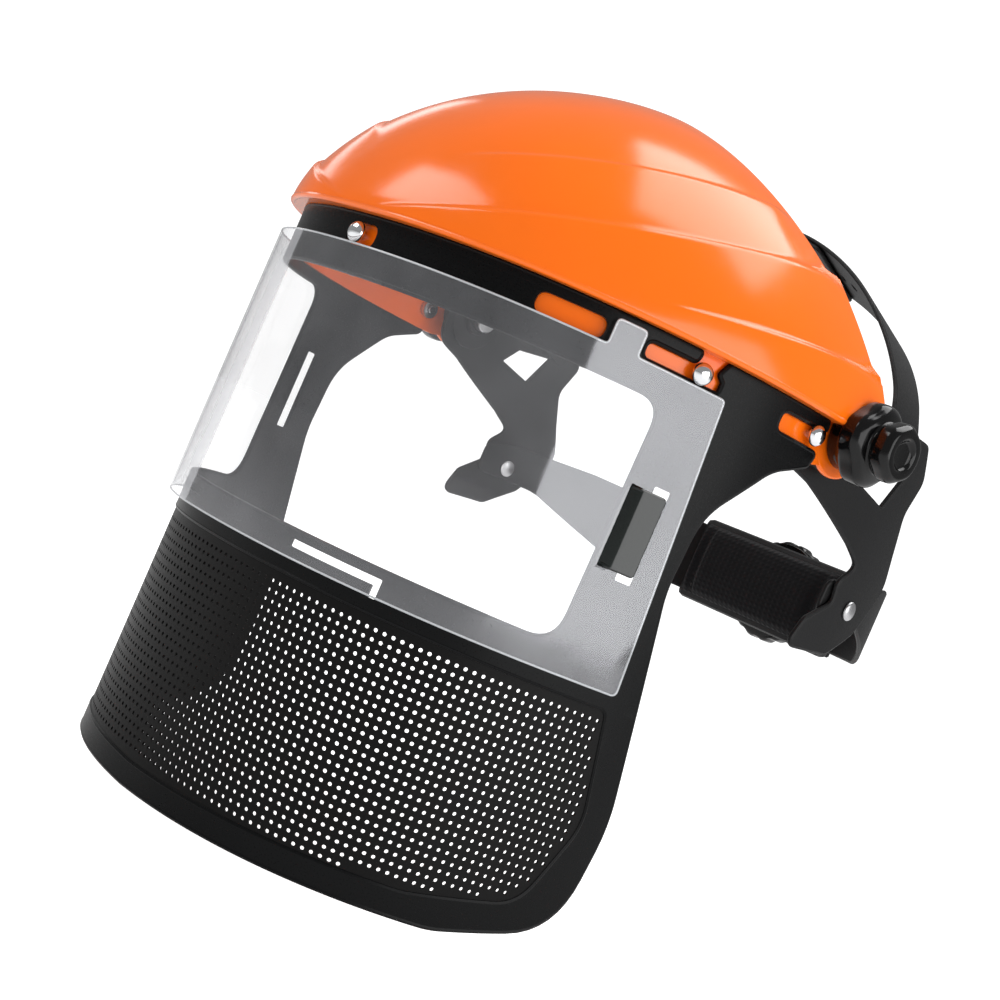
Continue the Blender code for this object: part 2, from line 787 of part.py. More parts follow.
def build_temple_plates(wrap, side_s, parent, black):
    outlines = [plate_outline(side_s), plate_window(side_s)]
    mesh = wrapped_mesh("temple_plate_left", outlines, 0, STRAP_SHEET, wrap, upright)
    left, right = add_pair("temple_plate", mesh, (parent, parent), black)
    rods = (
        ("hub_", HUB_RADIUS, HUB_INNER + 3 * MM, HUB_OUTER, 32, "UNION"),
        ("boss_", BOSS_RADIUS, HUB_INNER, HUB_OUTER - 3 * MM, 24, "UNION"),
        ("plate_bore_", BOLT_RADIUS + GAP, BOLT_HEAD_FACE, KNOB_END, 16, "DIFFERENCE"),
    )
    for side, plate in ((1, left), (-1, right)):
        for name, radius, start, end, steps, operation in rods:
            rod = across_rod(name, radius, side, start, end, steps)
            combine(plate, add_cutter(name + side_name(side), rod, parent), operation)
    return left, right


def build_brow_band(wrap, side_s, parent, black):
    end = side_s - 19 * MM
    outline = slot(-end, end, BAND_BOTTOM, BAND_TOP, 5 * MM)
    mesh = wrapped_mesh("brow_band", [outline], -STRAP_SHEET - GAP, -GAP, wrap, upright)
    return add_object("brow_band", mesh, parent, black)


def build_sweatband(wrap, parent, grey):
    back = -STRAP_SHEET - 2 * GAP
    outline = slot(-78 * MM, 78 * MM, BAND_BOTTOM - 2 * MM, BAND_TOP + 2 * MM, 7 * MM)
    mesh = wrapped_mesh("sweatband", [outline], back - PAD_THICKNESS, back, wrap, upright)
    return add_object("sweatband", mesh, parent, grey)


def build_nape_straps(wrap, side_s, parent, black):
    """From inside the nape tab, widening on its way, to inside the nape housing's mouth."""
    start, end = side_s + 38 * MM, length_to_back(RACK_END + MM)
    top, bottom = NAPE_TOP - MM, NAPE_BOTTOM + MM
    outline = rounded((
        (start, -46 * MM, 4 * MM),
        (start + 16 * MM, -43 * MM, 8 * MM),
        (start + 60 * MM, top, 30 * MM),
        (end, top, 4 * MM),
        (end, bottom, 4 * MM),
        (start + 78 * MM, bottom, 30 * MM),
        (start + 34 * MM, -57 * MM, 30 * MM),
        (start, -58 * MM, 4 * MM),
    ), 3)
    mesh = wrapped_mesh("nape_strap_left", [outline], -STRAP_SHEET - GAP, -GAP, wrap, upright)
    return add_pair("nape_strap", mesh, (parent, parent), black)


def under_tail(s):
    """The right strap half steps in under the left one near the top."""
    return -ARCH_SHEET - GAP if s > -30 * MM else 0.0


def strap_outline(foot):
    """The left half of the top strap: broad over the head, narrower towards its foot."""
    broad, narrow = ARCH_TOP_WIDTH / 2, ARCH_WIDTH / 2
    return rounded((
        (-22 * MM, ARCH_Y - broad, 3 * MM),
        (foot - 62 * MM, ARCH_Y - broad, 40 * MM),
        (foot - 26 * MM, ARCH_Y - narrow, 40 * MM),
        (foot, ARCH_Y - narrow, 3 * MM),
        (foot, ARCH_Y + narrow, 3 * MM),
        (foot - 26 * MM, ARCH_Y + narrow, 40 * MM),
        (foot - 62 * MM, ARCH_Y + broad, 40 * MM),
        (-22 * MM, ARCH_Y + broad, 3 * MM),
    ), 2)


def build_top_straps(arch, parent, black):
    """Two strap halves that overlap at the top, one over the other, joined by a peg."""
    over = strap_outline(arch.corners[-1][0])
    under = flip(over)[::-1]
    hole = circle(0, ARCH_Y, 2.6 * MM, 10)
    top = wrapped_mesh("top_strap_left", [over, hole], 0, ARCH_SHEET, arch, over_head)
    low = wrapped_mesh(
        "top_strap_right", [under, hole], 0, ARCH_SHEET, arch, over_head, under_tail
    )
    left = add_object("top_strap_left", top, parent, black)
    right = add_object("top_strap_right", low, parent, black)
    return left, right


def build_peg(arch, parent, black):
    top = arch.point(0).y
    profile = (
        (0, -4.4 * MM),
        (4 * MM, -4.4 * MM),
        (4 * MM, -2.8 * MM),
        (2.2 * MM, -2.8 * MM),
        (2.2 * MM, 2.1 * MM),
        (4.6 * MM, 2.1 * MM),
        (4.6 * MM, 3.2 * MM),
        (3.4 * MM, 3.9 * MM),
        (0, 3.9 * MM),
    )
    axis = (0, math.sin(ARCH_LEAN), math.cos(ARCH_LEAN))
    mesh = turned_mesh("top_strap_peg", profile, axis, over_head(Vector((0, top)), ARCH_Y), 16)
    add_object("top_strap_peg", mesh, parent, black)


def build_rivet(name, wrap, s, z, layers, joined, parent, steel):
    """A domed rivet, and its holes in the pieces it joins. layers are the two faces it spans."""
    normal = wrap.normal(s)
    axis = Vector((normal.x, normal.y, 0))
    inside, outside = layers
    profile = (
        (0, inside - 1.1 * MM),
        (RIVET_HEAD, inside - 0.8 * MM),
        (RIVET_HEAD, inside - GAP),
        (RIVET_SHANK, inside - GAP),
        (RIVET_SHANK, outside + GAP),
        (RIVET_HEAD, outside + GAP),
        (RIVET_HEAD, outside + 0.8 * MM),
        (0, outside + 1.3 * MM),
    )
    mesh = turned_mesh(name, profile, axis, upright(wrap.point(s), z), 12)
    add_object(name, mesh, parent, steel)
    start = upright(wrap.point(s, -8 * MM), z)
    end = upright(wrap.point(s, 8 * MM), z)
    for piece in joined:
        hole = rod_mesh("hole", RIVET_SHANK + GAP, start, end, 12)
        cutter = add_cutter(name + "_in_" + piece.name, hole, parent)
        combine(piece, cutter, "DIFFERENCE")


def build_rivets(wrap, side_s, band, plates, straps, arches, parent, steel):
    flat = (-STRAP_SHEET - GAP, STRAP_SHEET)
    foot = (-6.4 * MM, STRAP_SHEET)
    for index, side in enumerate((1, -1)):
        plate = plates[index]
        for kind, place, layers, other in (
            ("band_rivet_", BAND_RIVET, flat, band),
            ("nape_rivet_", NAPE_RIVET, flat, straps[index]),
            ("strap_rivet_", STRAP_RIVET, foot, arches[index]),
        ):
            along, height = place
            build_rivet(
                kind + side_name(side), wrap, side * (side_s + along), height, layers,
                (plate, other), parent, steel,
            )


# ---------------------------------------------------------------- pivots and knobs


def build_pivots(parents, head_parent, black, steel, brass):
    length = BOLT_END - BOLT_HEAD_FACE
    profile = (
        (0, 0),
        (4.6 * MM, 0.4 * MM),
        (5 * MM, 1 * MM),
        (5 * MM, 4 * MM),
        (BOLT_RADIUS, 4 * MM),
        (BOLT_RADIUS, length),
        (0, length),
    )
    mesh = turned_mesh("pivot_bolt_left", profile, (1, 0, 0), (BOLT_HEAD_FACE, 0, 0), 16)
    add_pair("pivot_bolt", mesh, (head_parent, head_parent), steel)
    washer = tube_mesh(
        "friction_washer_left", BOLT_RADIUS + GAP, 11 * MM,
        (HUB_OUTER + GAP, 0, 0), (EAR_INNER - GAP, 0, 0),
    )
    add_pair("friction_washer", washer, (head_parent, head_parent), black)
    add_pair("temple_knob", knob_mesh(), parents, black)
    insert = tube_mesh(
        "knob_insert_left", BOLT_RADIUS + GAP, INSERT_RADIUS,
        (KNOB_BASE + 2 * MM, 0, 0), (KNOB_MIDDLE + 7 * MM, 0, 0), 16,
    )
    add_pair("knob_insert", insert, parents, brass)


def knob_mesh():
    """Lobed main disc, a waist and a small grip cap, hollow for the insert and the bolt."""
    bore, pocket = BOLT_RADIUS + GAP, INSERT_RADIUS + GAP
    outside = [
        (KNOB_NECK_RADIUS, KNOB_BASE),
        (KNOB_NECK_RADIUS, KNOB_MIDDLE - 0.8 * MM),
        (KNOB_RADIUS, KNOB_MIDDLE + 0.6 * MM),
        (KNOB_RADIUS, KNOB_MIDDLE + 6.6 * MM),
        (KNOB_RADIUS - 2 * MM, KNOB_MIDDLE + 8.4 * MM),
        (9.2 * MM, KNOB_WAIST),
        (10.4 * MM, KNOB_WAIST + 2.2 * MM),
        (10.4 * MM, KNOB_END - 2 * MM),
        (8.2 * MM, KNOB_END),
        (0, KNOB_END),
    ]
    inside = [
        (0, BOLT_END + 0.6 * MM),
        (bore, BOLT_END + 0.6 * MM),
        (bore, KNOB_MIDDLE + 7.3 * MM),
        (pocket, KNOB_MIDDLE + 7.3 * MM),
        (pocket, KNOB_BASE),
    ]
    mesh = turned_mesh("temple_knob_left", inside + outside, (1, 0, 0), (0, 0, 0), 24)
    for vertex in mesh.vertices:
        radius = math.hypot(vertex.co.y, vertex.co.z)
        on_disc = KNOB_MIDDLE < vertex.co.x < KNOB_MIDDLE + 8.2 * MM
        if on_disc and radius > KNOB_NECK_RADIUS + MM:
            turn = 4 * math.atan2(vertex.co.z, vertex.co.y)
            scale = 1 - KNOB_LOBE_DEPTH * (1 - math.cos(turn)) / 2
            vertex.co.y *= scale
            vertex.co.z *= scale
    return mesh


# ---------------------------------------------------------------- nape unit


def build_nape_unit(head_parent, knob_parent, rack_parents, black, grey, steel):
    half, floor = NAPE_HALF_WIDTH, NAPE_Y
    lip = NAPE_Y + HOUSING_DEPTH
    low, high = NAPE_CENTRE_Z - NAPE_HALF_HEIGHT, NAPE_CENTRE_Z + NAPE_HALF_HEIGHT
    shell = box_mesh("nape_housing", (-half, floor, low), (half, lip, high))
    housing = add_object("nape_housing", shell, head_parent, black)
    bevel(housing, 2.5 * MM, 2)
    channel = box_mesh(
        "rack_channel", (-half - MM, floor + 2 * MM, NAPE_CENTRE_Z - CHANNEL_HALF_HEIGHT),
        (half + MM, lip + MM, NAPE_CENTRE_Z + CHANNEL_HALF_HEIGHT),
    )
    combine(housing, add_cutter("rack_channel", channel, head_parent), "DIFFERENCE")

    lid = box_mesh(
        "nape_cover", (-half + MM, lip + GAP, low + MM), (half - MM, lip + 2.4 * MM, high - MM)
    )
    cover = add_object("nape_cover", lid, head_parent, black)
    bevel(cover, 0.8 * MM)
    start, end = (0, lip - MM, NAPE_CENTRE_Z), (0, lip + 5 * MM, NAPE_CENTRE_Z)
    hole = rod_mesh("shaft_hole", SHAFT_RADIUS + 1.4 * MM, start, end, 28)
    combine(cover, add_cutter("shaft_hole", hole, head_parent), "DIFFERENCE")

    cushion = box_mesh(
        "nape_pad", (-half + 3 * MM, floor - NAPE_PAD_THICKNESS, low + 2 * MM),
        (half - 3 * MM, floor - GAP, high - 2 * MM),
    )
    pad = add_object("nape_pad", cushion, head_parent, grey)
    bevel(pad, 2 * MM, 2)

    start, end = (0, floor + 5.6 * MM, NAPE_CENTRE_Z), (0, floor + 8.2 * MM, NAPE_CENTRE_Z)
    ring = tube_mesh("ratchet_ring", 8.5 * MM, 12.6 * MM, start, end)
    add_object("ratchet_ring", ring, head_parent, steel)
    build_pinion(knob_parent, black)
    build_dial(knob_parent, black, steel)
    build_racks(rack_parents, black)


def gear_outline(tip, depth, teeth):
    outline = []
    for k in range(teeth):
        for share, radius in ((0.0, tip - depth), (0.25, tip - depth), (0.4, tip), (0.85, tip)):
            angle = math.tau * (k + share) / teeth
            outline.append(Vector((radius * math.cos(angle), radius * math.sin(angle))))
    return outline


def laid_back(mesh):
    """Stands a flat solid up, with its thickness running to the rear."""
    mesh.transform(Matrix(((1, 0, 0, 0), (0, 0, 1, 0), (0, 1, 0, 0), (0, 0, 0, 1))))
    mesh.flip_normals()
    return mesh


def shaft_rod(name, radius, start, end, steps):
    """A rod on the ratchet's axis, between two distances behind the housing's floor."""
    return rod_mesh(name, radius, (0, start, 0), (0, end, 0), steps)


def build_pinion(parent, black):
    """Pinion and its shaft, in one piece."""
    outline = gear_outline(PINION_TIP, 1.1 * MM, PINION_TEETH)
    start = 2.4 * MM
    teeth = laid_back(pattern_mesh("pinion", [outline], start, start + PINION_SHEET))
    pinion = add_object("pinion", teeth, parent, black)
    top = DIAL_START + 0.4 * MM
    shaft = shaft_rod("shaft", SHAFT_RADIUS, start + 1.6 * MM, top, 24)
    combine(pinion, add_cutter("pinion_shaft", shaft, parent), "UNION")
    bore = shaft_rod("bore", 1.6 * MM, start + 0.8 * MM, top + MM, 16)
    combine(pinion, add_cutter("pinion_bore", bore, parent), "DIFFERENCE")


def build_dial(parent, black, steel):
    """Ribbed knob outside the cover, and the screw that holds it on the shaft."""
    start, end = DIAL_START, DIAL_START + DIAL_DEPTH
    outline = []
    steps = 3 * DIAL_RIBS
    for k in range(steps):
        angle = math.tau * k / steps
        radius = RATCHET_RADIUS - DIAL_RIB_DEPTH * (1 - math.cos(DIAL_RIBS * angle)) / 2
        outline.append(Vector((radius * math.cos(angle), radius * math.sin(angle))))
    disc = laid_back(pattern_mesh("ratchet_knob", [outline], start, end))
    knob = add_object("ratchet_knob", disc, parent, black)
    cuts = (
        ("knob_pocket", SHAFT_RADIUS + GAP, start - MM, start + 1.2 * MM),
        ("knob_screw_hole", 1.7 * MM, start - MM, end + MM),
        ("knob_screw_sink", 3.6 * MM, start + 5.5 * MM, end + MM),
    )
    for name, radius, near, far in cuts:
        combine(knob, add_cutter(name, shaft_rod(name, radius, near, far, 20), parent), "DIFFERENCE")
    profile = (
        (0, 5 * MM),
        (1.3 * MM, 5 * MM),
        (1.3 * MM, start + 5.8 * MM),
        (3.1 * MM, start + 5.8 * MM),
        (3.1 * MM, start + 7.6 * MM),
        (0, start + 8 * MM),
    )
    screw = turned_mesh("knob_screw", profile, (0, 1, 0), (0, 0, 0), 20)
    add_object("knob_screw", screw, parent, steel)


def rack_outline(reach_in, reach_out):
    """A strip with teeth on its lower edge, in (across, height above the pinion's axis)."""
    tip, root, top = PINION_TIP + GAP, PINION_TIP + 1.4 * MM, 14.4 * MM
    pitch = math.tau * (PINION_TIP - 0.55 * MM) / PINION_TEETH
    outline = [Vector((-reach_in, top)), Vector((-reach_in, root))]
    count = int((reach_in + 20 * MM) / pitch)
    for k in range(count):
        u = -reach_in + pitch * (k + 0.2)
        for share, v in ((0.0, root), (0.25, tip), (0.5, tip), (0.75, root)):
            outline.append(Vector((u + pitch * share, v)))
    outline += [Vector((reach_out, root)), Vector((reach_out, top))]
    return outline


def build_racks(parents, black):
    """The left rack runs above the pinion and the right one below it."""
    outline = rack_outline(20 * MM, RACK_END)
    near = NAPE_Y + RACK_FACE
    for side, parent in zip((1, -1), parents):
        name = "rack_" + side_name(side)
        mesh = pattern_mesh(name, [outline], near, near + RACK_SHEET)
        mesh.transform(Matrix(((side, 0, 0, 0), (0, 0, 1, 0), (0, side, 0, 0), (0, 0, 0, 1))))
        mesh.flip_normals()
        mesh.transform(Matrix.Translation((0, 0, NAPE_CENTRE_Z)))
        add_object(name, mesh, parent, black)


# ---------------------------------------------------------------- assembly


def finishes():
    return {
        "orange": material("orange_plastic", (1.0, 0.145, 0.01), 0.22),
        "black": material("black_plastic", (0.012, 0.012, 0.013), 0.35),
        "clear": material("clear_film", (0.86, 0.88, 0.9), 0.08, alpha=0.35),
        "chrome": material("chrome", (0.7, 0.7, 0.72), 0.12, 1.0),
        "steel": material("steel", (0.45, 0.45, 0.46), 0.35, 1.0),
        "brass": material("brass", (0.7, 0.5, 0.2), 0.35, 1.0),
        "foam": material("foam", (0.05, 0.05, 0.055), 0.9),
    }


def build_guard(guard, look):
    """Crown, visor, window and mesh: everything that tilts."""
    visor = Wrap(visor_curve, VISOR_REACH, VISOR_FACET)
    pivot_s = length_at(visor_curve, VISOR_REACH, 0.0)
    build_crown(visor, pivot_s, guard, look["orange"])
    build_visor(visor, pivot_s, guard, look["black"])
    build_mesh_panel(visor, guard, look["black"])
    build_film(visor, guard, look["clear"])
    build_studs(visor, guard, look["chrome"], look["steel"])


def build_headgear(loop, head, look):
    arch = Wrap(arch_curve, ARCH_REACH, ARCH_FACET, outward=-1.0)
    side_s = length_at(loop_curve, LOOP_REACH, 0.0)
    black = look["black"]
    band = build_brow_band(loop, side_s, head, black)
    build_sweatband(loop, head, look["foam"])
    plates = build_temple_plates(loop, side_s, head, black)
    straps = build_nape_straps(loop, side_s, head, black)
    arches = build_top_straps(arch, head, black)
    build_peg(arch, head, black)
    build_rivets(loop, side_s, band, plates, straps, arches, head, look["steel"])


def build():
    clear_scene()
    look = finishes()
    loop = Wrap(loop_curve, LOOP_REACH, LOOP_FACET, middle_facet=True)
    pad_middle = (BAND_TOP + BAND_BOTTOM) / 2
    pad_face = upright(loop.point(0, -STRAP_SHEET - 2 * GAP - PAD_THICKNESS), pad_middle)
    head = empty("headgear_frame", -pad_face)
    guard = empty("visor_pivot", (0, 0, 0), head)
    knobs = (empty("left_knob_axis", (0, 0, 0), head), empty("right_knob_axis", (0, 0, 0), head))
    dial = empty("ratchet_axis", (0, NAPE_Y, NAPE_CENTRE_Z), head)
    racks = (empty("left_rack_slide", (0, 0, 0), head), empty("right_rack_slide", (0, 0, 0), head))
    build_guard(guard, look)
    build_headgear(loop, head, look)
    build_pivots(knobs, head, look["black"], look["steel"], look["brass"])
    build_nape_unit(head, dial, racks, look["black"], look["foam"], look["steel"])


build()
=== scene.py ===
"""Looks of a face shield: glossy brow guard, clear window over a mesh apron, ratchet headgear.

Everything is modelled in metres about the pivot line (the axis of both temple knobs), with -Y to
the front, +Z up and +X to the wearer's left, and is carried to the frame by the pivot's own place.
A curved sheet is drawn flat as (s, z): s is the length round the plan curve from its middle, and
h is the distance outwards from the curve.
"""
import json
import math
from contextlib import contextmanager

import bmesh
import bpy
import numpy as np
from mathutils import Matrix, Vector


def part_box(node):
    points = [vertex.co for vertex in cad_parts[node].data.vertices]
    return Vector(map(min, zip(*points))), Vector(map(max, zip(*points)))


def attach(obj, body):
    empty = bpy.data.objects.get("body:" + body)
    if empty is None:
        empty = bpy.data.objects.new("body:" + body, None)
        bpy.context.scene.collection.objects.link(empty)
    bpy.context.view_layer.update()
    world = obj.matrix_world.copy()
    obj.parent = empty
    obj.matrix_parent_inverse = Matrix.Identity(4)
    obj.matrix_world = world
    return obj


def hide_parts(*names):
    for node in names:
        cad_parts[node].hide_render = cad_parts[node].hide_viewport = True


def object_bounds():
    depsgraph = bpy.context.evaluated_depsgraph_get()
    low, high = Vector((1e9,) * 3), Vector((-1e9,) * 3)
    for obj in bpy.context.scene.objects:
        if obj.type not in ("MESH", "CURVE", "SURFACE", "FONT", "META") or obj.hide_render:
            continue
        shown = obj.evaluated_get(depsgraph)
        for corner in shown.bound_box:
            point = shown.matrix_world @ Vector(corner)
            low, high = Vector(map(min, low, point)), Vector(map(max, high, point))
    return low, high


MM = 0.001
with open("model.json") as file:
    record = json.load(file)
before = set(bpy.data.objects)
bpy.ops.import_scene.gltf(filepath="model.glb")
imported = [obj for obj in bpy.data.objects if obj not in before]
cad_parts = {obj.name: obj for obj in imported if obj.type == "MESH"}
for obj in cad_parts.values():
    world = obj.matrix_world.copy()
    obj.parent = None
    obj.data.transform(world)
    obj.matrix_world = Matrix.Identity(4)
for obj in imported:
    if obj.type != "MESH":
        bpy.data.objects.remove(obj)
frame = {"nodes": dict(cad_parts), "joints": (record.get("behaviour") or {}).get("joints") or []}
CAD_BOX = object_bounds()


def mm(*values):
    """Millimetres to metres: each value is a number or a row of them."""
    return [mm(*value) if isinstance(value, (tuple, list)) else value * MM for value in values]


# ---- measures taken from the frame


def joint_place(name):
    return Vector(next(joint["pos_m"] for joint in frame["joints"] if joint["name"] == name))


PIVOT = joint_place("visor_tilt")
RATCHET = joint_place("ratchet_turn") - PIVOT


def node_box(name):
    """A CAD node's box, about the pivot line."""
    low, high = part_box(name)
    return low - PIVOT, high - PIVOT


VISOR_LOW, VISOR_HIGH = node_box("visor_frame")
KNOB_LOW, KNOB_HIGH = node_box("temple_knob_left")
BAND_LOW, BAND_HIGH = node_box("brow_band")
PAD_LOW, PAD_HIGH = node_box("sweatband")
NAPE_LOW, NAPE_HIGH = node_box("nape_strap_left")
NAPE_PAD_LOW, NAPE_PAD_HIGH = node_box("nape_pad")
DIAL_LOW, DIAL_HIGH = node_box("ratchet_knob")

# Visor and crown share one plan curve.
VISOR_HALF_WIDTH = VISOR_HIGH.x
VISOR_CENTRE_Y = -13 * MM
VISOR_DEPTH = VISOR_CENTRE_Y - VISOR_LOW.y
VISOR_ROUNDNESS = 2.21
VISOR_SHEET = 1.8 * MM
VISOR_TOP = VISOR_HIGH.z
VISOR_BOTTOM = VISOR_LOW.z
MESH_PITCH = 3.05 * MM
MESH_TOP_ROW = -115.2 * MM
MESH_HOLE = 1.28 * MM
MESH_THICKNESS = 0.9 * MM
FILM_THICKNESS = 0.6 * MM
FILM_STANDOFF = 4.0 * MM
FILM_TOP = -9.5 * MM
FILM_BOTTOM = node_box("window_film")[0].z

CROWN_HEIGHT = 85 * MM
CROWN_LIP = 4.9 * MM
CROWN_BASE = 2 * MM
CROWN_WALL = 2.4 * MM
CROWN_PLAN_EXPONENT = 1.95
CROWN_RISE_EXPONENT = 1.45
CROWN_LEAN = -11 * MM
CROWN_REAR = (17.3 * MM, -0.5865, -2.8)
FLANGE_WALL = 2.2 * MM
FLANGE_BOTTOM = -14 * MM
EAR_RADIUS = 15 * MM
EAR_INNER = 103.7 * MM
EAR_OUTER = 105.9 * MM
BOLT_HOLE = 3.3 * MM

LOOP_HALF_WIDTH = 98 * MM
LOOP_HALF_LENGTH = 103 * MM
LOOP_CENTRE_Y = 37 * MM
LOOP_ROUNDNESS = 2.8
LOOP_REAR_LENGTH = 109 * MM
LOOP_REAR_ROUNDNESS = 2.1
STRAP_SHEET = 2.0 * MM
GAP = 0.3 * MM
ARCH_HALF_WIDTH = 94.0 * MM
ARCH_HEIGHT = 78 * MM
ARCH_FOOT = 2 * MM
ARCH_SHEET = 1.6 * MM
ARCH_Y = 49 * MM
ARCH_RIVET_Z = 8 * MM
ARCH_WIDTH = 22 * MM
ARCH_TOP_WIDTH = 34 * MM
ARCH_LEAN = math.radians(16)
ARCH_ROUNDNESS = 1.65
HUB_INNER = 90.3 * MM
HUB_OUTER = 100 * MM

BEND_STEP = 2.5 * MM


# ---- materials


def node(tree, kind, inputs=None, **settings):
    """A shader node. Each input is given a value, or is fed by another node's output."""
    made = tree.nodes.new("ShaderNode" + kind)
    for name, value in settings.items():
        setattr(made, name, value)
    for name, value in (inputs or {}).items():
        if isinstance(value, bpy.types.NodeSocket):
            tree.links.new(value, made.inputs[name])
        else:
            made.inputs[name].default_value = value
    return made


def ranged(tree, value, to_low, to_high, from_low=0.0, from_high=1.0):
    """The value carried from one range to another, and held inside it."""
    return node(tree, "MapRange", {
        "Value": value, "From Min": from_low, "From Max": from_high, "To Min": to_low,
        "To Max": to_high,
    }).outputs["Result"]


def new_material(name):
    """(material, node tree, shader, object coordinates) of a fresh material."""
    made = bpy.data.materials.new(name)
    made.use_nodes = True
    tree = made.node_tree
    place = node(tree, "TexCoord").outputs["Object"]
    return made, tree, tree.nodes["Principled BSDF"], place


def finish(name, colour, roughness, metallic=0.0, variation=0.12, grain=900, bump=0.1, wear=0.15,
           sheen=0.0, specular=0.5):
    """Moulded surface: cloudy colour, fine grain in bump and roughness, lighter worn edges."""
    made, tree, shader, place = new_material(name)
    shader.inputs["Metallic"].default_value = metallic
    shader.inputs["Sheen Weight"].default_value = sheen
    shader.inputs["Specular IOR Level"].default_value = specular
    clouds = node(tree, "TexNoise", {"Vector": place, "Scale": 22.0, "Detail": 4.0})
    fine = node(tree, "TexNoise", {
        "Vector": place, "Scale": grain, "Detail": 6.0, "Roughness": 0.6,
    }).outputs["Fac"]

    shade = ranged(tree, clouds.outputs["Fac"], 1 - variation, 1 + variation, 0.3, 0.7)
    tint = node(tree, "Mix", {"Factor": 1.0}, data_type="RGBA", blend_type="MULTIPLY")
    tint.inputs["A"].default_value = (*colour, 1.0)
    tree.links.new(shade, tint.inputs["B"])

    pointed = node(tree, "NewGeometry").outputs["Pointiness"]
    worn = node(tree, "Mix", {"Factor": ranged(tree, pointed, 0.0, wear, 0.52, 0.62)},
                data_type="RGBA")
    worn.inputs["B"].default_value = (*[min(1.0, 0.12 + 1.3 * c) for c in colour], 1.0)
    tree.links.new(tint.outputs["Result"], worn.inputs["A"])
    tree.links.new(worn.outputs["Result"], shader.inputs["Base Color"])

    rough = ranged(tree, fine, roughness * 0.82, roughness * 1.18, 0.3, 0.7)
    tree.links.new(rough, shader.inputs["Roughness"])
    relief = node(tree, "Bump", {"Strength": bump, "Distance": 0.2 * MM, "Height": fine})
    tree.links.new(relief.outputs["Normal"], shader.inputs["Normal"])
    made.diffuse_color = (*colour, 1.0)
    return made


def woven(name, colour):
    """Knitted cover cloth: two crossed ribs for the knit, fuzz over it and a soft sheen."""
    made = finish(name, colour, 0.9, variation=0.2, grain=2200, bump=0.3, wear=0.0, sheen=0.06,
                  specular=0.1)
    tree = made.node_tree
    fuzz = next(n for n in tree.nodes if n.type == "BUMP").outputs["Normal"]
    place = node(tree, "TexCoord").outputs["Object"]
    upright, across = (
        node(tree, "TexWave", {
            "Vector": place, "Scale": scale, "Distortion": 0.6, "Detail": 1.0,
        }, bands_direction=axis).outputs["Fac"]
        for axis, scale in (("Z", 900.0 / 6.3), ("X", 700.0 / 6.3))
    )
    crossed = node(tree, "Math", {0: upright, 1: across}, operation="MULTIPLY").outputs["Value"]
    knit = node(tree, "Bump", {
        "Strength": 0.6, "Distance": 0.5 * MM, "Height": crossed, "Normal": fuzz,
    })
    tree.links.new(knit.outputs["Normal"], tree.nodes["Principled BSDF"].inputs["Normal"])
    return made


def clear_sheet(name, tint, mirror, haze, roughness):
    """Clear film: mirrors faintly face on and strongly along its surface, with a thin haze, and a
    pale band of painted reflection where it turns edge-on.

    Only the side that faces the viewer shows, so a sheet with two faces counts once.
    """
    made, tree, shader, place = new_material(name)
    shader.inputs["Base Color"].default_value = (*tint, 1.0)
    smears = node(tree, "TexNoise", {
        "Vector": place, "Scale": 30.0, "Detail": 5.0, "Roughness": 0.55,
    }).outputs["Fac"]
    rough = ranged(tree, smears, roughness * 0.7, roughness * 1.6, 0.35, 0.7)
    tree.links.new(rough, shader.inputs["Roughness"])

    def maths(operation, *values):
        return node(tree, "Math", dict(enumerate(values)), operation=operation).outputs["Value"]

    facing = node(tree, "LayerWeight", {"Blend": 0.5}).outputs["Facing"]
    grazing = maths("POWER", facing, 12.0)
    reflected = maths("MULTIPLY_ADD", grazing, 1 - mirror, mirror)
    thin = maths("MULTIPLY", smears, haze * 2)
    # Painted reflection: a pale, haze-lit band where the film turns edge-on stands for the strong
    # reflection along its limb.
    painted_limb_reflection = ranged(tree, facing, 0.0, 0.3, 0.62, 0.635)
    total = maths("ADD", reflected, maths("ADD", thin, painted_limb_reflection))
    front = maths("SUBTRACT", 1.0, node(tree, "NewGeometry").outputs["Backfacing"])
    tree.links.new(maths("MULTIPLY", total, front), shader.inputs["Alpha"])
    tree.links.new(maths("DIVIDE", reflected, total), shader.inputs["Metallic"])
    made.diffuse_color = (*tint, 0.3)
    return made


ORANGE = finish("orange_shell", (1.0, 0.165, 0.004), 0.17, variation=0.04, grain=420, bump=0.01,
                wear=0.15, specular=0.42)
BLACK_SHEET = finish("visor_black", (0.003, 0.0032, 0.0035), 0.3, grain=1500, bump=0.02, wear=0.02,
                     specular=0.12)
TONGUE_BLACK = finish("tongue_black", (0.006, 0.009, 0.008), 0.16, grain=900, bump=0.01, wear=0.0,
                      specular=0.5)
MESH_BLACK = finish("mesh_black", (0.004, 0.0038, 0.0038), 0.42, grain=2500, bump=0.1, wear=0.02,
                    specular=0.12)
STRAP_BLACK = finish("strap_black", (0.008, 0.008, 0.0085), 0.5, grain=1400, bump=0.15, wear=0.03,
                     specular=0.2)
KNOB_BLACK = finish("knob_black", (0.003, 0.003, 0.0032), 0.14, grain=600, bump=0.015, wear=0.02,
                    specular=0.3)
RUBBER = finish("washer_rubber", (0.01, 0.01, 0.0105), 0.8, grain=1800, bump=0.3, wear=0.05,
                specular=0.15)
CHROME = finish("stud_chrome", (0.82, 0.83, 0.85), 0.09, metallic=1.0, variation=0.04, bump=0.01,
                wear=0.0)
STEEL = finish("bright_steel", (0.5, 0.5, 0.51), 0.32, metallic=1.0, grain=1600, bump=0.12,
               wear=0.2)
BRASS = finish("brass", (0.68, 0.46, 0.16), 0.34, metallic=1.0, bump=0.1, wear=0.2)
FOAM = woven("pad_cover", (0.009, 0.009, 0.010))
THREAD = finish("pad_thread", (0.03, 0.03, 0.032), 0.7, grain=3000, bump=0.4, wear=0.0, sheen=0.3)
FILM = clear_sheet("clear_film", (0.88, 0.89, 0.93), 0.12, 0.06, 0.06)
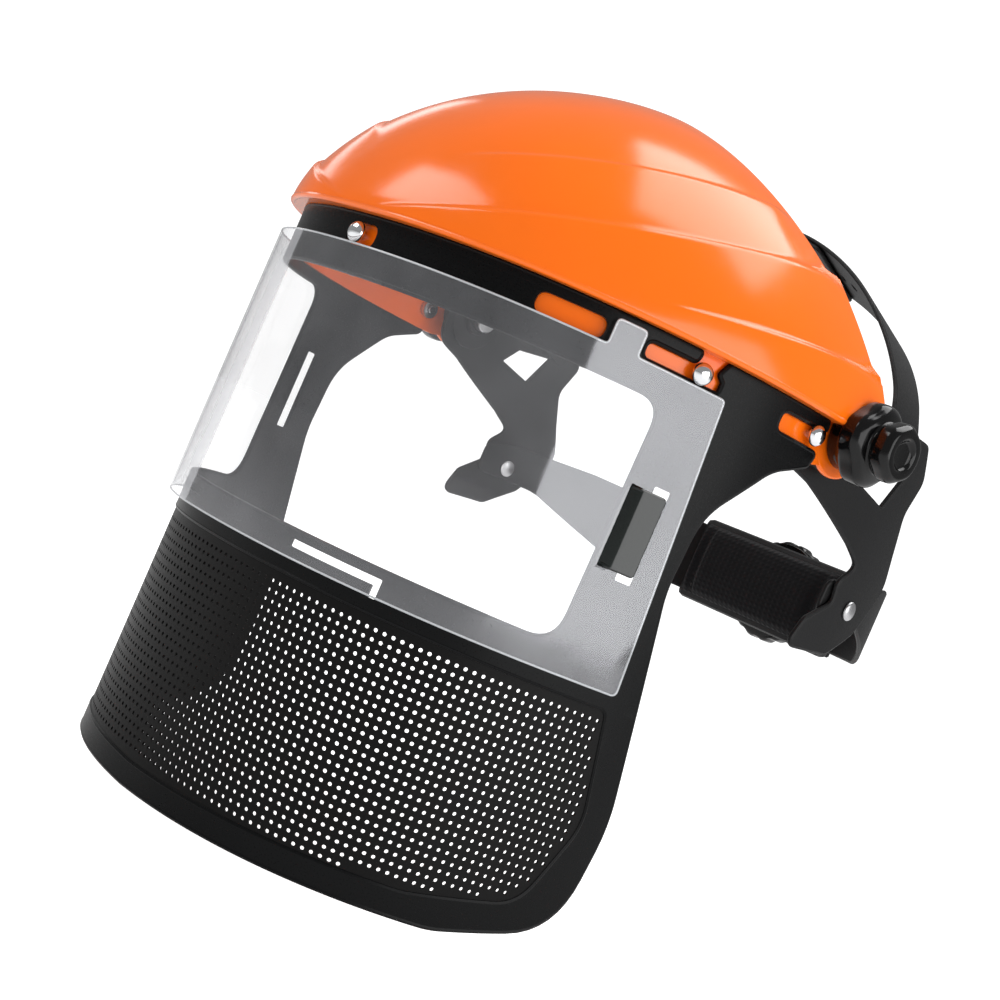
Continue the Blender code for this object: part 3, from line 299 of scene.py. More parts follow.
# The film's edge bead is painted light grey: a painted highlight for the bright line that the clear
# edge catches.
FILM_EDGE = finish("film_edge", (0.5, 0.52, 0.54), 0.2, variation=0.1, bump=0.02, wear=0.0)


# ---- pieces


def put(name, data):
    """An object of this data, linked to the scene."""
    made = bpy.data.objects.new(name, data)
    bpy.context.scene.collection.objects.link(made)
    return made


def add_piece(name, mesh, body, surface, stands_for=(), smooth_angle=35):
    """Puts a mesh, modelled about the pivot line, into the frame on its body."""
    mesh.name = name
    mesh.transform(Matrix.Translation(PIVOT))
    mesh.materials.clear()
    mesh.materials.append(surface)
    for polygon in mesh.polygons:
        polygon.use_smooth = True
        polygon.material_index = 0
    mesh.set_sharp_from_angle(angle=math.radians(smooth_angle))
    made = put(name, mesh)
    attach(made, body)
    if stands_for:
        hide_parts(*stands_for)
    return made


def modify(piece, kind, **settings):
    """Adds a modifier of this kind."""
    made = piece.modifiers.new(kind, kind)
    for name, value in settings.items():
        setattr(made, name, value)


def joined(name, meshes):
    """One mesh from several."""
    solid = bmesh.new()
    for mesh in meshes:
        solid.from_mesh(mesh)
        bpy.data.meshes.remove(mesh)
    made = bpy.data.meshes.new(name)
    solid.to_mesh(made)
    solid.free()
    return made


@contextmanager
def editing(mesh):
    """The mesh as a bmesh, written back at the end."""
    solid = bmesh.new()
    solid.from_mesh(mesh)
    yield solid
    solid.to_mesh(mesh)
    solid.free()


def points_of(mesh):
    return np.array([vertex.co for vertex in mesh.vertices])


def move_points(mesh, places):
    mesh.vertices.foreach_set("co", places.astype(np.float32).ravel())
    mesh.update()


def curve_mesh(data, outlines, closed):
    """The solid that a curve with these polylines makes."""
    for outline in outlines:
        spline = data.splines.new("POLY")
        spline.points.add(len(outline) - 1)
        for control, place in zip(spline.points, outline):
            control.co = (*place, 1.0)
        spline.use_cyclic_u = closed
    guide = put("guide", data)
    graph = bpy.context.evaluated_depsgraph_get()
    made = bpy.data.meshes.new_from_object(guide.evaluated_get(graph))
    bpy.data.objects.remove(guide, do_unlink=True)
    bpy.data.curves.remove(data)
    return made


def grid_mesh(name, points, wrap_rows=False, wrap_columns=False):
    """Quads over an array of points [row, column, xyz]."""
    rows, columns = points.shape[:2]
    index = np.arange(rows * columns).reshape(rows, columns)
    if wrap_rows:
        index = np.vstack([index, index[:1]])
    if wrap_columns:
        index = np.hstack([index, index[:, :1]])
    corners = [index[:-1, :-1], index[:-1, 1:], index[1:, 1:], index[1:, :-1]]
    quads = np.stack([corner.ravel() for corner in corners], axis=1)
    made = bpy.data.meshes.new(name)
    made.from_pydata(points.reshape(-1, 3).tolist(), [], quads.tolist())
    made.update()
    return made


def face_outwards(mesh):
    with editing(mesh) as solid:
        bmesh.ops.remove_doubles(solid, verts=solid.verts, dist=2e-6)
        bmesh.ops.recalc_face_normals(solid, faces=solid.faces)
    return mesh


def turned(profile, axis=(1, 0, 0), origin=(0, 0, 0), steps=64, lobes=None):
    """A solid of revolution from (radius, along) points. lobes(angle, along) scales the radius."""
    angles = np.linspace(0, math.tau, steps, endpoint=False)
    axis = Vector(axis).normalized()
    turn = Vector((0, 0, 1)).rotation_difference(axis).to_matrix()
    points = np.empty((len(profile), steps, 3))
    for row, (radius, along) in enumerate(profile):
        for column, angle in enumerate(angles):
            reach = max(radius, 1e-6) * (lobes(angle, along) if lobes else 1.0)
            here = turn @ Vector((reach * math.cos(angle), reach * math.sin(angle), along))
            points[row, column] = here + Vector(origin)
    return face_outwards(grid_mesh("turned", points, wrap_columns=True))


def corner_arc(here, before, after, reach, steps):
    """Points that round a corner; before and after lead from it to its neighbours."""
    start, end = here + before.normalized() * reach, here + after.normalized() * reach
    shares = [k / steps for k in range(steps + 1)]
    return [start.lerp(here, t).lerp(here.lerp(end, t), t) for t in shares]


def softened(profile, radius, steps=3):
    """The profile with its inner corners rounded."""
    points = [Vector(p) for p in profile]
    made = [points[0]]
    for before, here, after in zip(points, points[1:], points[2:]):
        back, on = before - here, after - here
        reach = min(radius, back.length * 0.45, on.length * 0.45)
        made += corner_arc(here, back, on, reach, steps)
    made.append(points[-1])
    return [tuple(p) for p in made]


def tube(points, radius, closed=True, sides=2):
    """A round bead along a path."""
    data = bpy.data.curves.new("bead", "CURVE")
    data.dimensions = "3D"
    data.bevel_depth = radius
    data.bevel_resolution = sides
    data.use_fill_caps = not closed
    return face_outwards(curve_mesh(data, [points], closed))


# ---- plan curves and flat patterns


def superellipse(angle, half_width, depth, centre, exponent):
    """Points at these angles from the front, going towards +X."""
    sine, cosine = np.sin(angle), np.cos(angle)
    across = half_width * np.sign(sine) * np.abs(sine) ** (2 / exponent)
    return across, centre - depth * np.sign(cosine) * np.abs(cosine) ** (2 / exponent)


class Plan:
    """A plan curve measured by length from its middle."""

    def __init__(self, across, along):
        steps = np.hypot(np.diff(across), np.diff(along))
        self.length = np.concatenate([[0.0], np.cumsum(steps)])
        self.length -= self.length[-1] / 2
        self.across, self.along = across, along

    def on(self, s):
        return (np.interp(s, self.length, self.across), np.interp(s, self.length, self.along))

    def normal(self, s):
        reach = 1.5 * MM
        x0, y0 = self.on(s - reach)
        x1, y1 = self.on(s + reach)
        size = np.hypot(x1 - x0, y1 - y0)
        return (y1 - y0) / size, -(x1 - x0) / size

    def place(self, s, v, h):
        """Points of an upright sheet."""
        x, y = self.on(s)
        nx, ny = self.normal(s)
        return np.stack([x + nx * h, y + ny * h, v + 0 * x], axis=-1)


class Arch(Plan):
    """The same for a strap over the head: its curve lies in X and Z, v runs across it, and the
    whole leans back about the foot rivets."""

    def place(self, s, v, h):
        x, z = self.on(s)
        nx, nz = self.normal(s)
        across, above = v - ARCH_Y, z - nz * h - ARCH_RIVET_Z
        sine, cosine = math.sin(ARCH_LEAN), math.cos(ARCH_LEAN)
        y = ARCH_Y + across * cosine + above * sine
        return np.stack([x - nx * h, y, ARCH_RIVET_Z - across * sine + above * cosine], axis=-1)


SAMPLES = np.linspace(-math.radians(175), math.radians(175), 12001)
VISOR = Plan(*superellipse(SAMPLES, VISOR_HALF_WIDTH, VISOR_DEPTH, VISOR_CENTRE_Y, VISOR_ROUNDNESS))
LOOP = Plan(*superellipse(
    SAMPLES, LOOP_HALF_WIDTH, np.where(np.cos(SAMPLES) < 0, LOOP_REAR_LENGTH, LOOP_HALF_LENGTH),
    LOOP_CENTRE_Y, np.where(np.cos(SAMPLES) < 0, LOOP_REAR_ROUNDNESS, LOOP_ROUNDNESS),
))
ARCH_X, ARCH_DROP = superellipse(
    np.linspace(-math.pi / 2, math.pi / 2, 4001), ARCH_HALF_WIDTH, ARCH_HEIGHT - ARCH_FOOT, 0.0,
    ARCH_ROUNDNESS,
)
ARCH = Arch(ARCH_X, ARCH_FOOT - ARCH_DROP)


def length_where(plan, test):
    """The first length from the middle, going towards +X, whose point passes the test."""
    lengths = plan.length[plan.length > 0]
    x, y = plan.on(lengths)
    return lengths[np.argmax(test(x, y))]


PIVOT_S = length_where(VISOR, lambda x, y: y >= 0)
SIDE_S = length_where(LOOP, lambda x, y: y >= 0)


def rounded(corners, steps=8):
    """A closed outline from corners (u, v, radius), each turned by an arc."""
    outline = []
    count = len(corners)
    for index, (u, v, radius) in enumerate(corners):
        here = Vector((u, v))
        if radius <= 0:
            outline.append(here)
            continue
        before = Vector(corners[index - 1][:2]) - here
        after = Vector(corners[(index + 1) % count][:2]) - here
        reach = radius / math.tan(before.angle(after) / 2)
        reach = min(reach, before.length * 0.49, after.length * 0.49)
        outline += corner_arc(here, before, after, reach, steps)
    return outline


def box_outline(u0, u1, v0, v1, radius, steps=6):
    corners = ((u0, v0, radius), (u1, v0, radius), (u1, v1, radius), (u0, v1, radius))
    return rounded(corners, steps)


def circle(u, v, radius, steps=32):
    turn = math.tau / steps
    return [
        Vector((u + radius * math.cos(k * turn), v + radius * math.sin(k * turn)))
        for k in range(steps)
    ]


def mirrored(half):
    """The closed outline of a half outline that starts and ends on u = 0."""
    return list(half) + [Vector((-p.x, p.y)) for p in reversed(half) if p.x > 0]


def flip(outline):
    return [Vector((-p.x, p.y)) for p in outline]


def both_sides(outline):
    return [outline, flip(outline)]


def spread(outline, spacing):
    """The closed outline with no step longer than the spacing."""
    made = []
    for here, after in zip(outline, outline[1:] + outline[:1]):
        count = max(1, math.ceil((after - here).length / spacing))
        made += [here.lerp(after, k / count) for k in range(count)]
    return made


def flat_mesh(outlines, low, high):
    """Flat solid with this outline, later outlines being holes."""
    data = bpy.data.curves.new("pattern", "CURVE")
    data.dimensions = "2D"
    data.fill_mode = "BOTH"
    data.extrude = (high - low) / 2
    made = curve_mesh(data, [[(p.x, p.y, 0.0) for p in outline] for outline in outlines], True)
    made.transform(Matrix.Translation((0, 0, (low + high) / 2)))
    return made


def bend(mesh, plan, rise=None):
    """Lays a flat mesh (s, v, h) round the plan curve. rise(s) is a further distance outwards."""
    s, v, h = points_of(mesh).T
    if rise is not None:
        h = h + rise(s)
    move_points(mesh, plan.place(s, v, h))
    return mesh


def edge_bead(outline, plan, height, radius, rise=None):
    """A round bead along an outline that is laid round a plan curve."""
    s, v = np.array([(p.x, p.y) for p in outline]).T
    return tube(plan.place(s, v, height + (rise(s) if rise is not None else 0.0)), radius)


def sheet(outlines, low, high, plan, rise=None, step=BEND_STEP, bead=None):
    """A bent sheet with a bead of this radius round its edges."""
    outlines = [spread(outline, step) for outline in outlines]
    mesh = flat_mesh(outlines, low, high)
    with editing(mesh) as solid:
        bmesh.ops.remove_doubles(solid, verts=solid.verts, dist=1e-6)
        reach = [vertex.co.x for vertex in solid.verts]
        for k in range(math.ceil(min(reach) / step), math.floor(max(reach) / step) + 1):
            everything = solid.verts[:] + solid.edges[:] + solid.faces[:]
            bmesh.ops.bisect_plane(
                solid, geom=everything, dist=1e-6, plane_co=(k * step, 0, 0), plane_no=(1, 0, 0)
            )
        bmesh.ops.recalc_face_normals(solid, faces=solid.faces)
    parts = [bend(mesh, plan, rise)]
    for outline in outlines if bead else ():
        parts.append(edge_bead(outline, plan, (low + high) / 2, bead, rise))
    return joined("sheet", parts)


def flipped(mesh):
    """The mirror image on the other side of the middle plane."""
    made = mesh.copy()
    with editing(made) as solid:
        bmesh.ops.transform(solid, matrix=Matrix.Diagonal((-1, 1, 1, 1)), verts=solid.verts)
        bmesh.ops.reverse_faces(solid, faces=solid.faces)
    return made


def add_pair(name, mesh, surface, bodies=("headgear", "headgear")):
    """The left piece and its mirror image. Each stands for the CAD node of its own name."""
    for made, body, tag in ((mesh, bodies[0], "_left"), (flipped(mesh), bodies[1], "_right")):
        add_piece(name + tag + "_finished", made, body, surface, (name + tag,))


# ---- crown

# Creases: first and last azimuth, then elevation at the first azimuth, its slope and its curve,
# and the step's height at each end. Azimuths and elevations are in degrees on the dome.
CREASES = (
    (9, 80, 25.2, 0.51, -0.0022, 0.9, 1.6),
    (2, 104, 3.6, 0.515, -0.0012, 1.0, 2.9),
    (50, 104, 7.2, 0.44, -0.0030, 0.5, 2.6),
)
CREASE_WIDTH = 1.5
CREASE_FADE = 13.0
CREASE_LEAD_IN = 10.0


def smoothstep(x):
    x = np.clip(x, 0, 1)
    return x * x * (3 - 2 * x)


def dome_base(azimuth, elevation):
    """Superellipsoid over the visor's plan curve."""
    reach = np.cos(elevation) ** (2 / CROWN_PLAN_EXPONENT)
    rise = np.sin(np.maximum(elevation, 0)) ** (2 / CROWN_RISE_EXPONENT)
    x, y = superellipse(
        azimuth, VISOR_HALF_WIDTH + CROWN_LIP, VISOR_DEPTH + CROWN_LIP, 0.0, VISOR_ROUNDNESS
    )
    centre = VISOR_CENTRE_Y + CROWN_LEAN * rise
    return np.stack([x * reach, centre + y * reach, CROWN_BASE + CROWN_HEIGHT * rise], axis=-1)


def crease_height(azimuth, elevation):
    """Each panel stands proud just below its crease and falls back towards the next one."""
    across, up = np.degrees(np.abs(azimuth)), np.degrees(elevation)
    total = np.zeros_like(across)
    for start, end, first, slope, curve, low, high in CREASES:
        along = across - start
        edge = first + slope * along + curve * along * along
        share = np.clip(along / (end - start), 0, 1)
        height = (low + (high - low) * share) * smoothstep(along / CREASE_LEAD_IN)
        height = height * smoothstep((end - across) / CREASE_LEAD_IN + 0.6)
        below = edge - up
        fade = np.exp(-np.maximum(below, 0) / CREASE_FADE)
        total += height * smoothstep(below / CREASE_WIDTH + 0.5) * fade
    return total * MM


def dome(azimuth, elevation):
    delta = math.radians(0.4)
    low = np.maximum(elevation - delta, 0)
    along = dome_base(azimuth + delta, elevation) - dome_base(azimuth - delta, elevation)
    upward = dome_base(azimuth, elevation + delta) - dome_base(azimuth, low)
    normal = np.cross(along, upward)
    normal /= np.linalg.norm(normal, axis=-1, keepdims=True)
    return dome_base(azimuth, elevation) + normal * crease_height(azimuth, elevation)[..., None]


def rear_edge(azimuth):
    """Elevation at which the dome meets its leaning rear edge."""
    start, slope, curve = CROWN_REAR
    low, high = np.zeros_like(azimuth), np.full_like(azimuth, math.pi / 2)
    for _ in range(40):
        middle = (low + high) / 2
        point = dome_base(azimuth, middle)
        inside = point[..., 1] < start + slope * point[..., 2] + curve * point[..., 2] ** 2
        low, high = np.where(inside, middle, low), np.where(inside, high, middle)
    return low


def crown_dome_mesh():
    corner = math.radians(99.5)
    azimuth = np.linspace(-corner, corner, 281)
    share = np.linspace(0, 1, 121)[:, None]
    elevation = rear_edge(azimuth) * share
    return grid_mesh("dome", dome(np.broadcast_to(azimuth, elevation.shape), elevation))


def crown_lip_mesh():
    """A rounded bead that follows the foot of the dome."""
    azimuth = np.radians(np.linspace(-99, 99, 321))
    foot = dome(azimuth, np.zeros_like(azimuth))
    x, y = foot[:, 0], foot[:, 1]
    around = Plan(x, y)
    nx, ny = around.normal(around.length)
    rings = []
    for angle in np.linspace(0, math.tau, 13)[:-1]:
        out = -0.9 * MM + 1.35 * MM * math.cos(angle)
        up = CROWN_BASE + 0.75 * MM + 1.1 * MM * math.sin(angle)
        rings.append(np.stack([x + nx * out, y + ny * out, np.full_like(x, up)], axis=-1))
    mesh = grid_mesh("lip", np.array(rings), wrap_rows=True)
    with editing(mesh) as solid:
        bmesh.ops.holes_fill(solid, edges=[e for e in solid.edges if e.is_boundary])
    return face_outwards(mesh)


def flange_outline():
    end, top, bottom = PIVOT_S + 12 * MM, CROWN_BASE + 0.6 * MM, FLANGE_BOTTOM
    return mirrored(rounded((
        (0, top, 0), (end, top, 0), (end, bottom + 6 * MM, 6 * MM),
        (PIVOT_S - 12 * MM, bottom, 6 * MM), (0, bottom, 0),
    )))


def build_crown():
    outer = -VISOR_SHEET - GAP
    flange = sheet([flange_outline()], outer - FLANGE_WALL, outer, VISOR)
    end = PIVOT_S + 8 * MM
    strip = box_outline(-end, end, CROWN_BASE - 0.2 * MM, CROWN_BASE + 1.6 * MM, 0.2 * MM)
    ledge = sheet([strip], outer - FLANGE_WALL, CROWN_LIP - 0.8 * MM, VISOR)
    profile = softened((
        (BOLT_HOLE, EAR_INNER), (EAR_RADIUS, EAR_INNER), (EAR_RADIUS, EAR_OUTER),
        (BOLT_HOLE, EAR_OUTER), (BOLT_HOLE, EAR_INNER),
    ), 0.8 * MM)
    ears = [turned(profile, (side, 0, 0), steps=96) for side in (1, -1)]
    dome_piece = add_piece(
        "crown_dome", crown_dome_mesh(), "brow_guard", ORANGE, ("crown_shell",), 60
    )
    modify(dome_piece, "SOLIDIFY", thickness=CROWN_WALL, offset=-1, use_quality_normals=True)
    modify(
        dome_piece, "BEVEL", width=0.5 * MM, segments=2, limit_method="ANGLE",
        angle_limit=math.radians(60),
    )
    mesh = joined("crown_rim", [flange, ledge, crown_lip_mesh()] + ears)
    add_piece("crown_rim", mesh, "brow_guard", ORANGE)


# ---- visor


def visor_outline():
    """Top band with snap-on hooks at the studs, pillars, and the rounded lower apron."""
    hook, top, bottom = PIVOT_S / MM - 14, VISOR_TOP / MM, VISOR_BOTTOM / MM
    return mirrored(rounded(mm(
        (0, top, 0), (127.5, top, 1.5), (126.5, -2.2, 1.5), (108.5, -2.2, 3.3), (108.5, -9, 3.3),
        (138.6, -9, 2), (138.6, -4.6, 1.2), (136.4, -2.8, 0.8), (138.6, top, 1.5),
        (hook, top, 1.2), (hook, -2, 0.8), (hook - 24, -2.4, 3.6), (hook - 24, -10.5, 3.6),
        (hook, -10.5, 2), (hook - 2, -15.5, 3), (172, -22, 22), (151.5, -45, 26), (150, -72, 40),
        (168, -150, 60), (164, -187, 30), (120, -197, 40), (0, bottom, 0),
    )))


def window_outline():
    return mirrored(rounded(mm((0, -18, 0), (122, -18, 9), (121, -101, 11), (0, -101, 0))))


def mesh_outline(grow=0.0):
    """Opening that the mesh fills; grow (mm) widens it on every side."""
    return mirrored(rounded(mm(
        (0, -114 + grow, 0), (148 + grow, -114 + grow, 4), (158 + grow, -152, 22),
        (146 + grow, -182 - grow, 16), (107, -189.5 - grow, 40), (0, -193 - grow, 0),
    )))


def side_tongue_hole():
    """What the tongue that holds the window's rear edge leaves open as it is bent outwards."""
    return box_outline(*mm(130.6, 137.6, -75, -43, 0.7))


def bottom_tongue_slot():
    """An L-shaped slit under the window that frees the tongue for its lower edge."""
    inner, outer, high, low, slit, edge = 28, 63, -103.4, -110, 2.6, 0.5
    return rounded(mm(
        (inner, high, edge), (outer, high, edge), (outer, low, edge), (outer - slit, low, edge),
        (outer - slit, high - slit, edge), (inner, high - slit, edge),
    ), 3)


def tongue_rise(s):
    """The side tongue climbs through a slit in the film and lies over the film's edge."""
    return 2.9 * MM * smoothstep((np.abs(s) - 122.6 * MM) / (3.4 * MM))


def tongue_mesh():
    outline = box_outline(*mm(121.8, 134.4, -71.8, -46.2, 0.8))
    return sheet([outline], -VISOR_SHEET, 0, VISOR, rise=tongue_rise, step=1.2 * MM, bead=0.85 * MM)


def build_visor():
    rims = ((visor_outline(), 1.05 * MM), (window_outline(), MM), (mesh_outline(), MM))
    outlines = [outline for outline, _ in rims]
    outlines += both_sides(box_outline(*mm(71.6, 95.2, -9, -2.2, 3.3)))
    outlines += both_sides(side_tongue_hole()) + both_sides(bottom_tongue_slot())
    outlines.append(box_outline(*mm(-6, 9, -9.2, -1.4, 3.6)))
    parts = [sheet(outlines, -VISOR_SHEET, 0, VISOR)]
    for outline, radius in rims:
        parts.append(edge_bead(spread(outline, BEND_STEP), VISOR, -VISOR_SHEET / 2, radius))
    add_piece(
        "visor_sheet", joined("visor_sheet", parts), "brow_guard", BLACK_SHEET,
        ("visor_frame",),
    )
    tongue = tongue_mesh()
    tongues = joined("window_tongues", [flipped(tongue), tongue])
    add_piece("window_tongues", tongues, "brow_guard", TONGUE_BLACK)


def inside(outline, u, v):
    """Which of the points lie inside the closed outline."""
    found = np.zeros(u.shape, bool)
    for here, after in zip(outline, outline[1:] + outline[:1]):
        if here.y == after.y:
            continue
        crosses = (here.y > v) != (after.y > v)
        at = here.x + (v - here.y) * (after.x - here.x) / (after.y - here.y)
        found ^= crosses & (u < at)
    return found


def mesh_cell(hole, pitch):
    """One cell's corner points and its faces: a square with a round-cornered hole in it."""
    half, cut = hole / 2, hole * 0.28
    ring = [
        (half, -half + cut), (half, half - cut), (half - cut, half), (-half + cut, half),
        (-half, half - cut), (-half, -half + cut), (-half + cut, -half), (half - cut, -half),
    ]
    edge = pitch / 2
    border = [(edge, -edge), (edge, edge), (-edge, edge), (-edge, -edge)]
    faces = []
    for k in range(4):
        a, b = 2 * k, 2 * k + 1
        outer, following = 8 + k, 8 + (k + 1) % 4
        faces.append((outer, following, b, a))
        faces.append((following, (2 * k + 2) % 8, b))
    return np.array(ring + border), faces


def build_mesh_panel():
    """Nylon mesh: square holes on a square pitch, real openings through the sheet."""
    columns, rows = np.arange(-55, 56), np.arange(28)
    s, z = np.meshgrid(columns * MESH_PITCH, MESH_TOP_ROW - rows * MESH_PITCH)
    s, z = s.ravel(), z.ravel()
    covered = inside(mesh_outline(1.8), s, z)
    s, z = s[covered], z[covered]
    margin = MESH_PITCH * 0.42
    open_cell = np.ones(s.shape, bool)
    for ds in (-margin, margin):
        for dz in (-margin, margin):
            open_cell &= inside(mesh_outline(-0.4), s + ds, z + dz)
    shape, faces = mesh_cell(MESH_HOLE, MESH_PITCH)
    low = -VISOR_SHEET / 2 - MESH_THICKNESS / 2
    high = low + MESH_THICKNESS
    points, polygons = [], []
    for centre_s, centre_z, is_open in zip(s, z, open_cell):
        first = len(points)
        for level in (low, high):
            points += [(centre_s + u, centre_z + v, level) for u, v in shape]
        upper = first + len(shape)
        for face in faces if is_open else faces + [tuple(range(8))]:
            polygons.append([upper + k for k in face])
            polygons.append([first + k for k in reversed(face)])
        for k in range(8) if is_open else ():
            after = (k + 1) % 8
            polygons.append([first + k, first + after, upper + after, upper + k])
    mesh = bpy.data.meshes.new("mesh")
    mesh.from_pydata(points, [], polygons)
    bend(mesh, VISOR)
    with editing(mesh) as solid:
        bmesh.ops.remove_doubles(solid, verts=solid.verts, dist=1e-5)
    add_piece("mesh_apron", mesh, "brow_guard", MESH_BLACK, ("mesh_panel",))


def film_rise(s):
    """The film stands away from the visor at the front and lies on it at its rear edges."""
    return FILM_STANDOFF * np.maximum(0.0, 1 - (np.abs(s) / (128 * MM)) ** 3)


def film_outline():
    top, bottom = FILM_TOP / MM, FILM_BOTTOM / MM
    return mirrored(rounded(mm(
        (0, top, 0), (97, top, 1.5), (97, -1, 1.5), (107, -1, 1.5), (107, top, 1.5),
        (141, top, 1.5), (148, bottom, 2), (0, bottom, 0),
    ), 4))


def build_film():
    outline = film_outline()
    slit = box_outline(*mm(122, 126.6, -72.8, -45.2, 0.5))
    mesh = sheet([outline] + both_sides(slit), GAP, GAP + FILM_THICKNESS, VISOR, rise=film_rise)
    add_piece("window_sheet", mesh, "brow_guard", FILM, ("window_film",))
    middle = GAP + FILM_THICKNESS / 2
    # Bead with a painted highlight along the film's clear edge.
    rim = edge_bead(spread(outline, BEND_STEP), VISOR, middle, 0.33 * MM, film_rise)
    add_piece("window_edge", rim, "brow_guard", FILM_EDGE)


def fastener_place(name, plan):
    """(origin, axis) of a stud or rivet on a plan curve, from its CAD node."""
    low, high = node_box(name)
    middle = (low + high) / 2
    distance = (plan.across - middle.x) ** 2 + (plan.along - middle.y) ** 2
    s = np.array([plan.length[np.argmin(distance)]])
    nx, ny = plan.normal(s)
    x, y = plan.on(s)
    return Vector((x[0], y[0], middle.z)), Vector((nx[0], ny[0], 0))


def domed(shank, radius, base, height, turns):
    """A fastener's profile: its shank (mm), then a domed head in this many steps."""
    profile = mm(*shank)
    for k in range(turns + 1):
        angle = math.pi / 2 * k / turns
        profile.append((radius * math.cos(angle), base + height * math.sin(angle)))
    return profile


def build_studs():
    shank = ((0, -8.2), (1.6, -8.2), (1.6, 0.5), (3.5, 0.5))
    profile = domed(shank, 3.7 * MM, 0.9 * MM, 2.6 * MM, 12)
    for tag in ("centre", "left_front", "left_rear", "right_front", "right_rear"):
        name = "visor_stud_" + tag
        origin, axis = fastener_place(name, VISOR)
        mesh = turned(profile, axis, origin, 48)
        add_piece("stud_" + tag, mesh, "brow_guard", CHROME, (name,))


# ---- headgear


def on_plate(*corners):
    """An outline from (y, z, radius) in millimetres, y being the length back from the pivot."""
    return rounded([(SIDE_S + y * MM, z * MM, radius * MM) for y, z, radius in corners])


def plate_outline():
    """Temple plate: hub, forward lobe, rear arm to the top strap, front arm and nape tab."""
    return on_plate(
        (-16, 6, 3), (-38, 6, 3), (-38, 30, 3), (-22, 30, 6), (-14, 14, 8), (0, 16.5, 12),
        (16, 15, 8), (38, 14, 4), (60, 14, 4), (69, 2, 5), (64, -12, 10), (70, -27, 14),
        (76, -40, 8), (64, -60, 8), (50, -70.5, 5), (26, -72.5, 3), (30, -62, 4), (42, -53, 5),
        (40, -45, 4), (48, -37, 5), (36, -31, 10), (2, -18, 8), (-15, -14, 10), (-17, 0, 8),
    )


def plate_window():
    return on_plate((26, -11, 1.5), (34, -2, 1.5), (54, 1, 1.5), (46, -15, 1.5))


def build_temple_plates():
    plate = sheet([plate_outline(), plate_window()], 0, STRAP_SHEET, LOOP, bead=1.05 * MM)
    neck, disc, shoulder = 7 * MM, 13.5 * MM, HUB_INNER + 3 * MM
    hub = turned(softened((
        (BOLT_HOLE, HUB_INNER), (neck, HUB_INNER), (neck, shoulder), (disc, shoulder),
        (disc, HUB_OUTER), (BOLT_HOLE, HUB_OUTER), (BOLT_HOLE, HUB_INNER),
    ), 0.8 * MM), steps=72)
    mesh = joined("plate", [plate, hub])
    add_pair("temple_plate", mesh, STRAP_BLACK)


def build_bands():
    end = SIDE_S - 19 * MM
    outlines = [box_outline(-end, end, BAND_LOW.z, BAND_HIGH.z, 5 * MM)]
    for middle in (-84, -60, 60, 84):
        outlines.append(box_outline(*mm(middle - 7, middle + 7, 12, 15, 1.4)))
    band = sheet(outlines, -STRAP_SHEET - GAP, -GAP, LOOP, bead=1.0 * MM)
    add_piece("front_band", band, "headgear", STRAP_BLACK, ("brow_band",))

    near = SIDE_S / MM + 38
    far = length_where(LOOP, lambda x, y: (y > LOOP_CENTRE_Y) & (x <= 37.5 * MM)) / MM
    low, high = NAPE_LOW.z / MM, NAPE_HIGH.z / MM
    outline = rounded(mm(
        (near, -46, 4), (near + 16, -43, 8), (near + 60, high, 30), (far, high, 4),
        (far, low, 4), (near + 78, low, 30), (near + 34, -57, 30), (near, -58, 4),
    ))
    strap = sheet([outline], -STRAP_SHEET - GAP, -GAP, LOOP, bead=0.9 * MM)
    add_pair("nape_strap", strap, STRAP_BLACK)


def under_tail(s):
    """The right strap half steps in under the left one near the top."""
    return (-ARCH_SHEET - GAP) * smoothstep((s + 34 * MM) / (8 * MM))


def strap_outline():
    """The left half of the top strap: broad over the head, narrower towards its foot."""
    foot, middle = ARCH.length[-1] / MM, ARCH_Y / MM
    broad, narrow = ARCH_TOP_WIDTH / MM / 2, ARCH_WIDTH / MM / 2
    return rounded(mm(
        (-22, middle - broad, 3), (foot - 62, middle - broad, 40),
        (foot - 26, middle - narrow, 40), (foot, middle - narrow, 3), (foot, middle + narrow, 3),
        (foot - 26, middle + narrow, 40), (foot - 62, middle + broad, 40),
        (-22, middle + broad, 3),
    ))


def build_top_straps():
    left, right = both_sides(strap_outline())
    for side, name, outline, rise in (
        (1, "top_strap_left", left, None), (-1, "top_strap_right", right, under_tail),
    ):
        holes = [circle(k * 8.5 * MM * side, ARCH_Y, 2.3 * MM, 20) for k in range(-1, 5)]
        mesh = sheet([outline] + holes, 0, ARCH_SHEET, ARCH, rise=rise, bead=0.8 * MM)
        add_piece(name + "_finished", mesh, "headgear", STRAP_BLACK, (name,))


def build_pivots():
    rim, inner, outer = 11 * MM, HUB_OUTER + GAP, EAR_INNER - GAP
    washer = turned(softened((
        (BOLT_HOLE, inner), (rim, inner), (rim, outer), (BOLT_HOLE, outer), (BOLT_HOLE, inner),
    ), 0.6 * MM))
    add_pair("friction_washer", washer, RUBBER)
    add_pair("temple_knob", knob_mesh(), KNOB_BLACK, ("left_knob", "right_knob"))


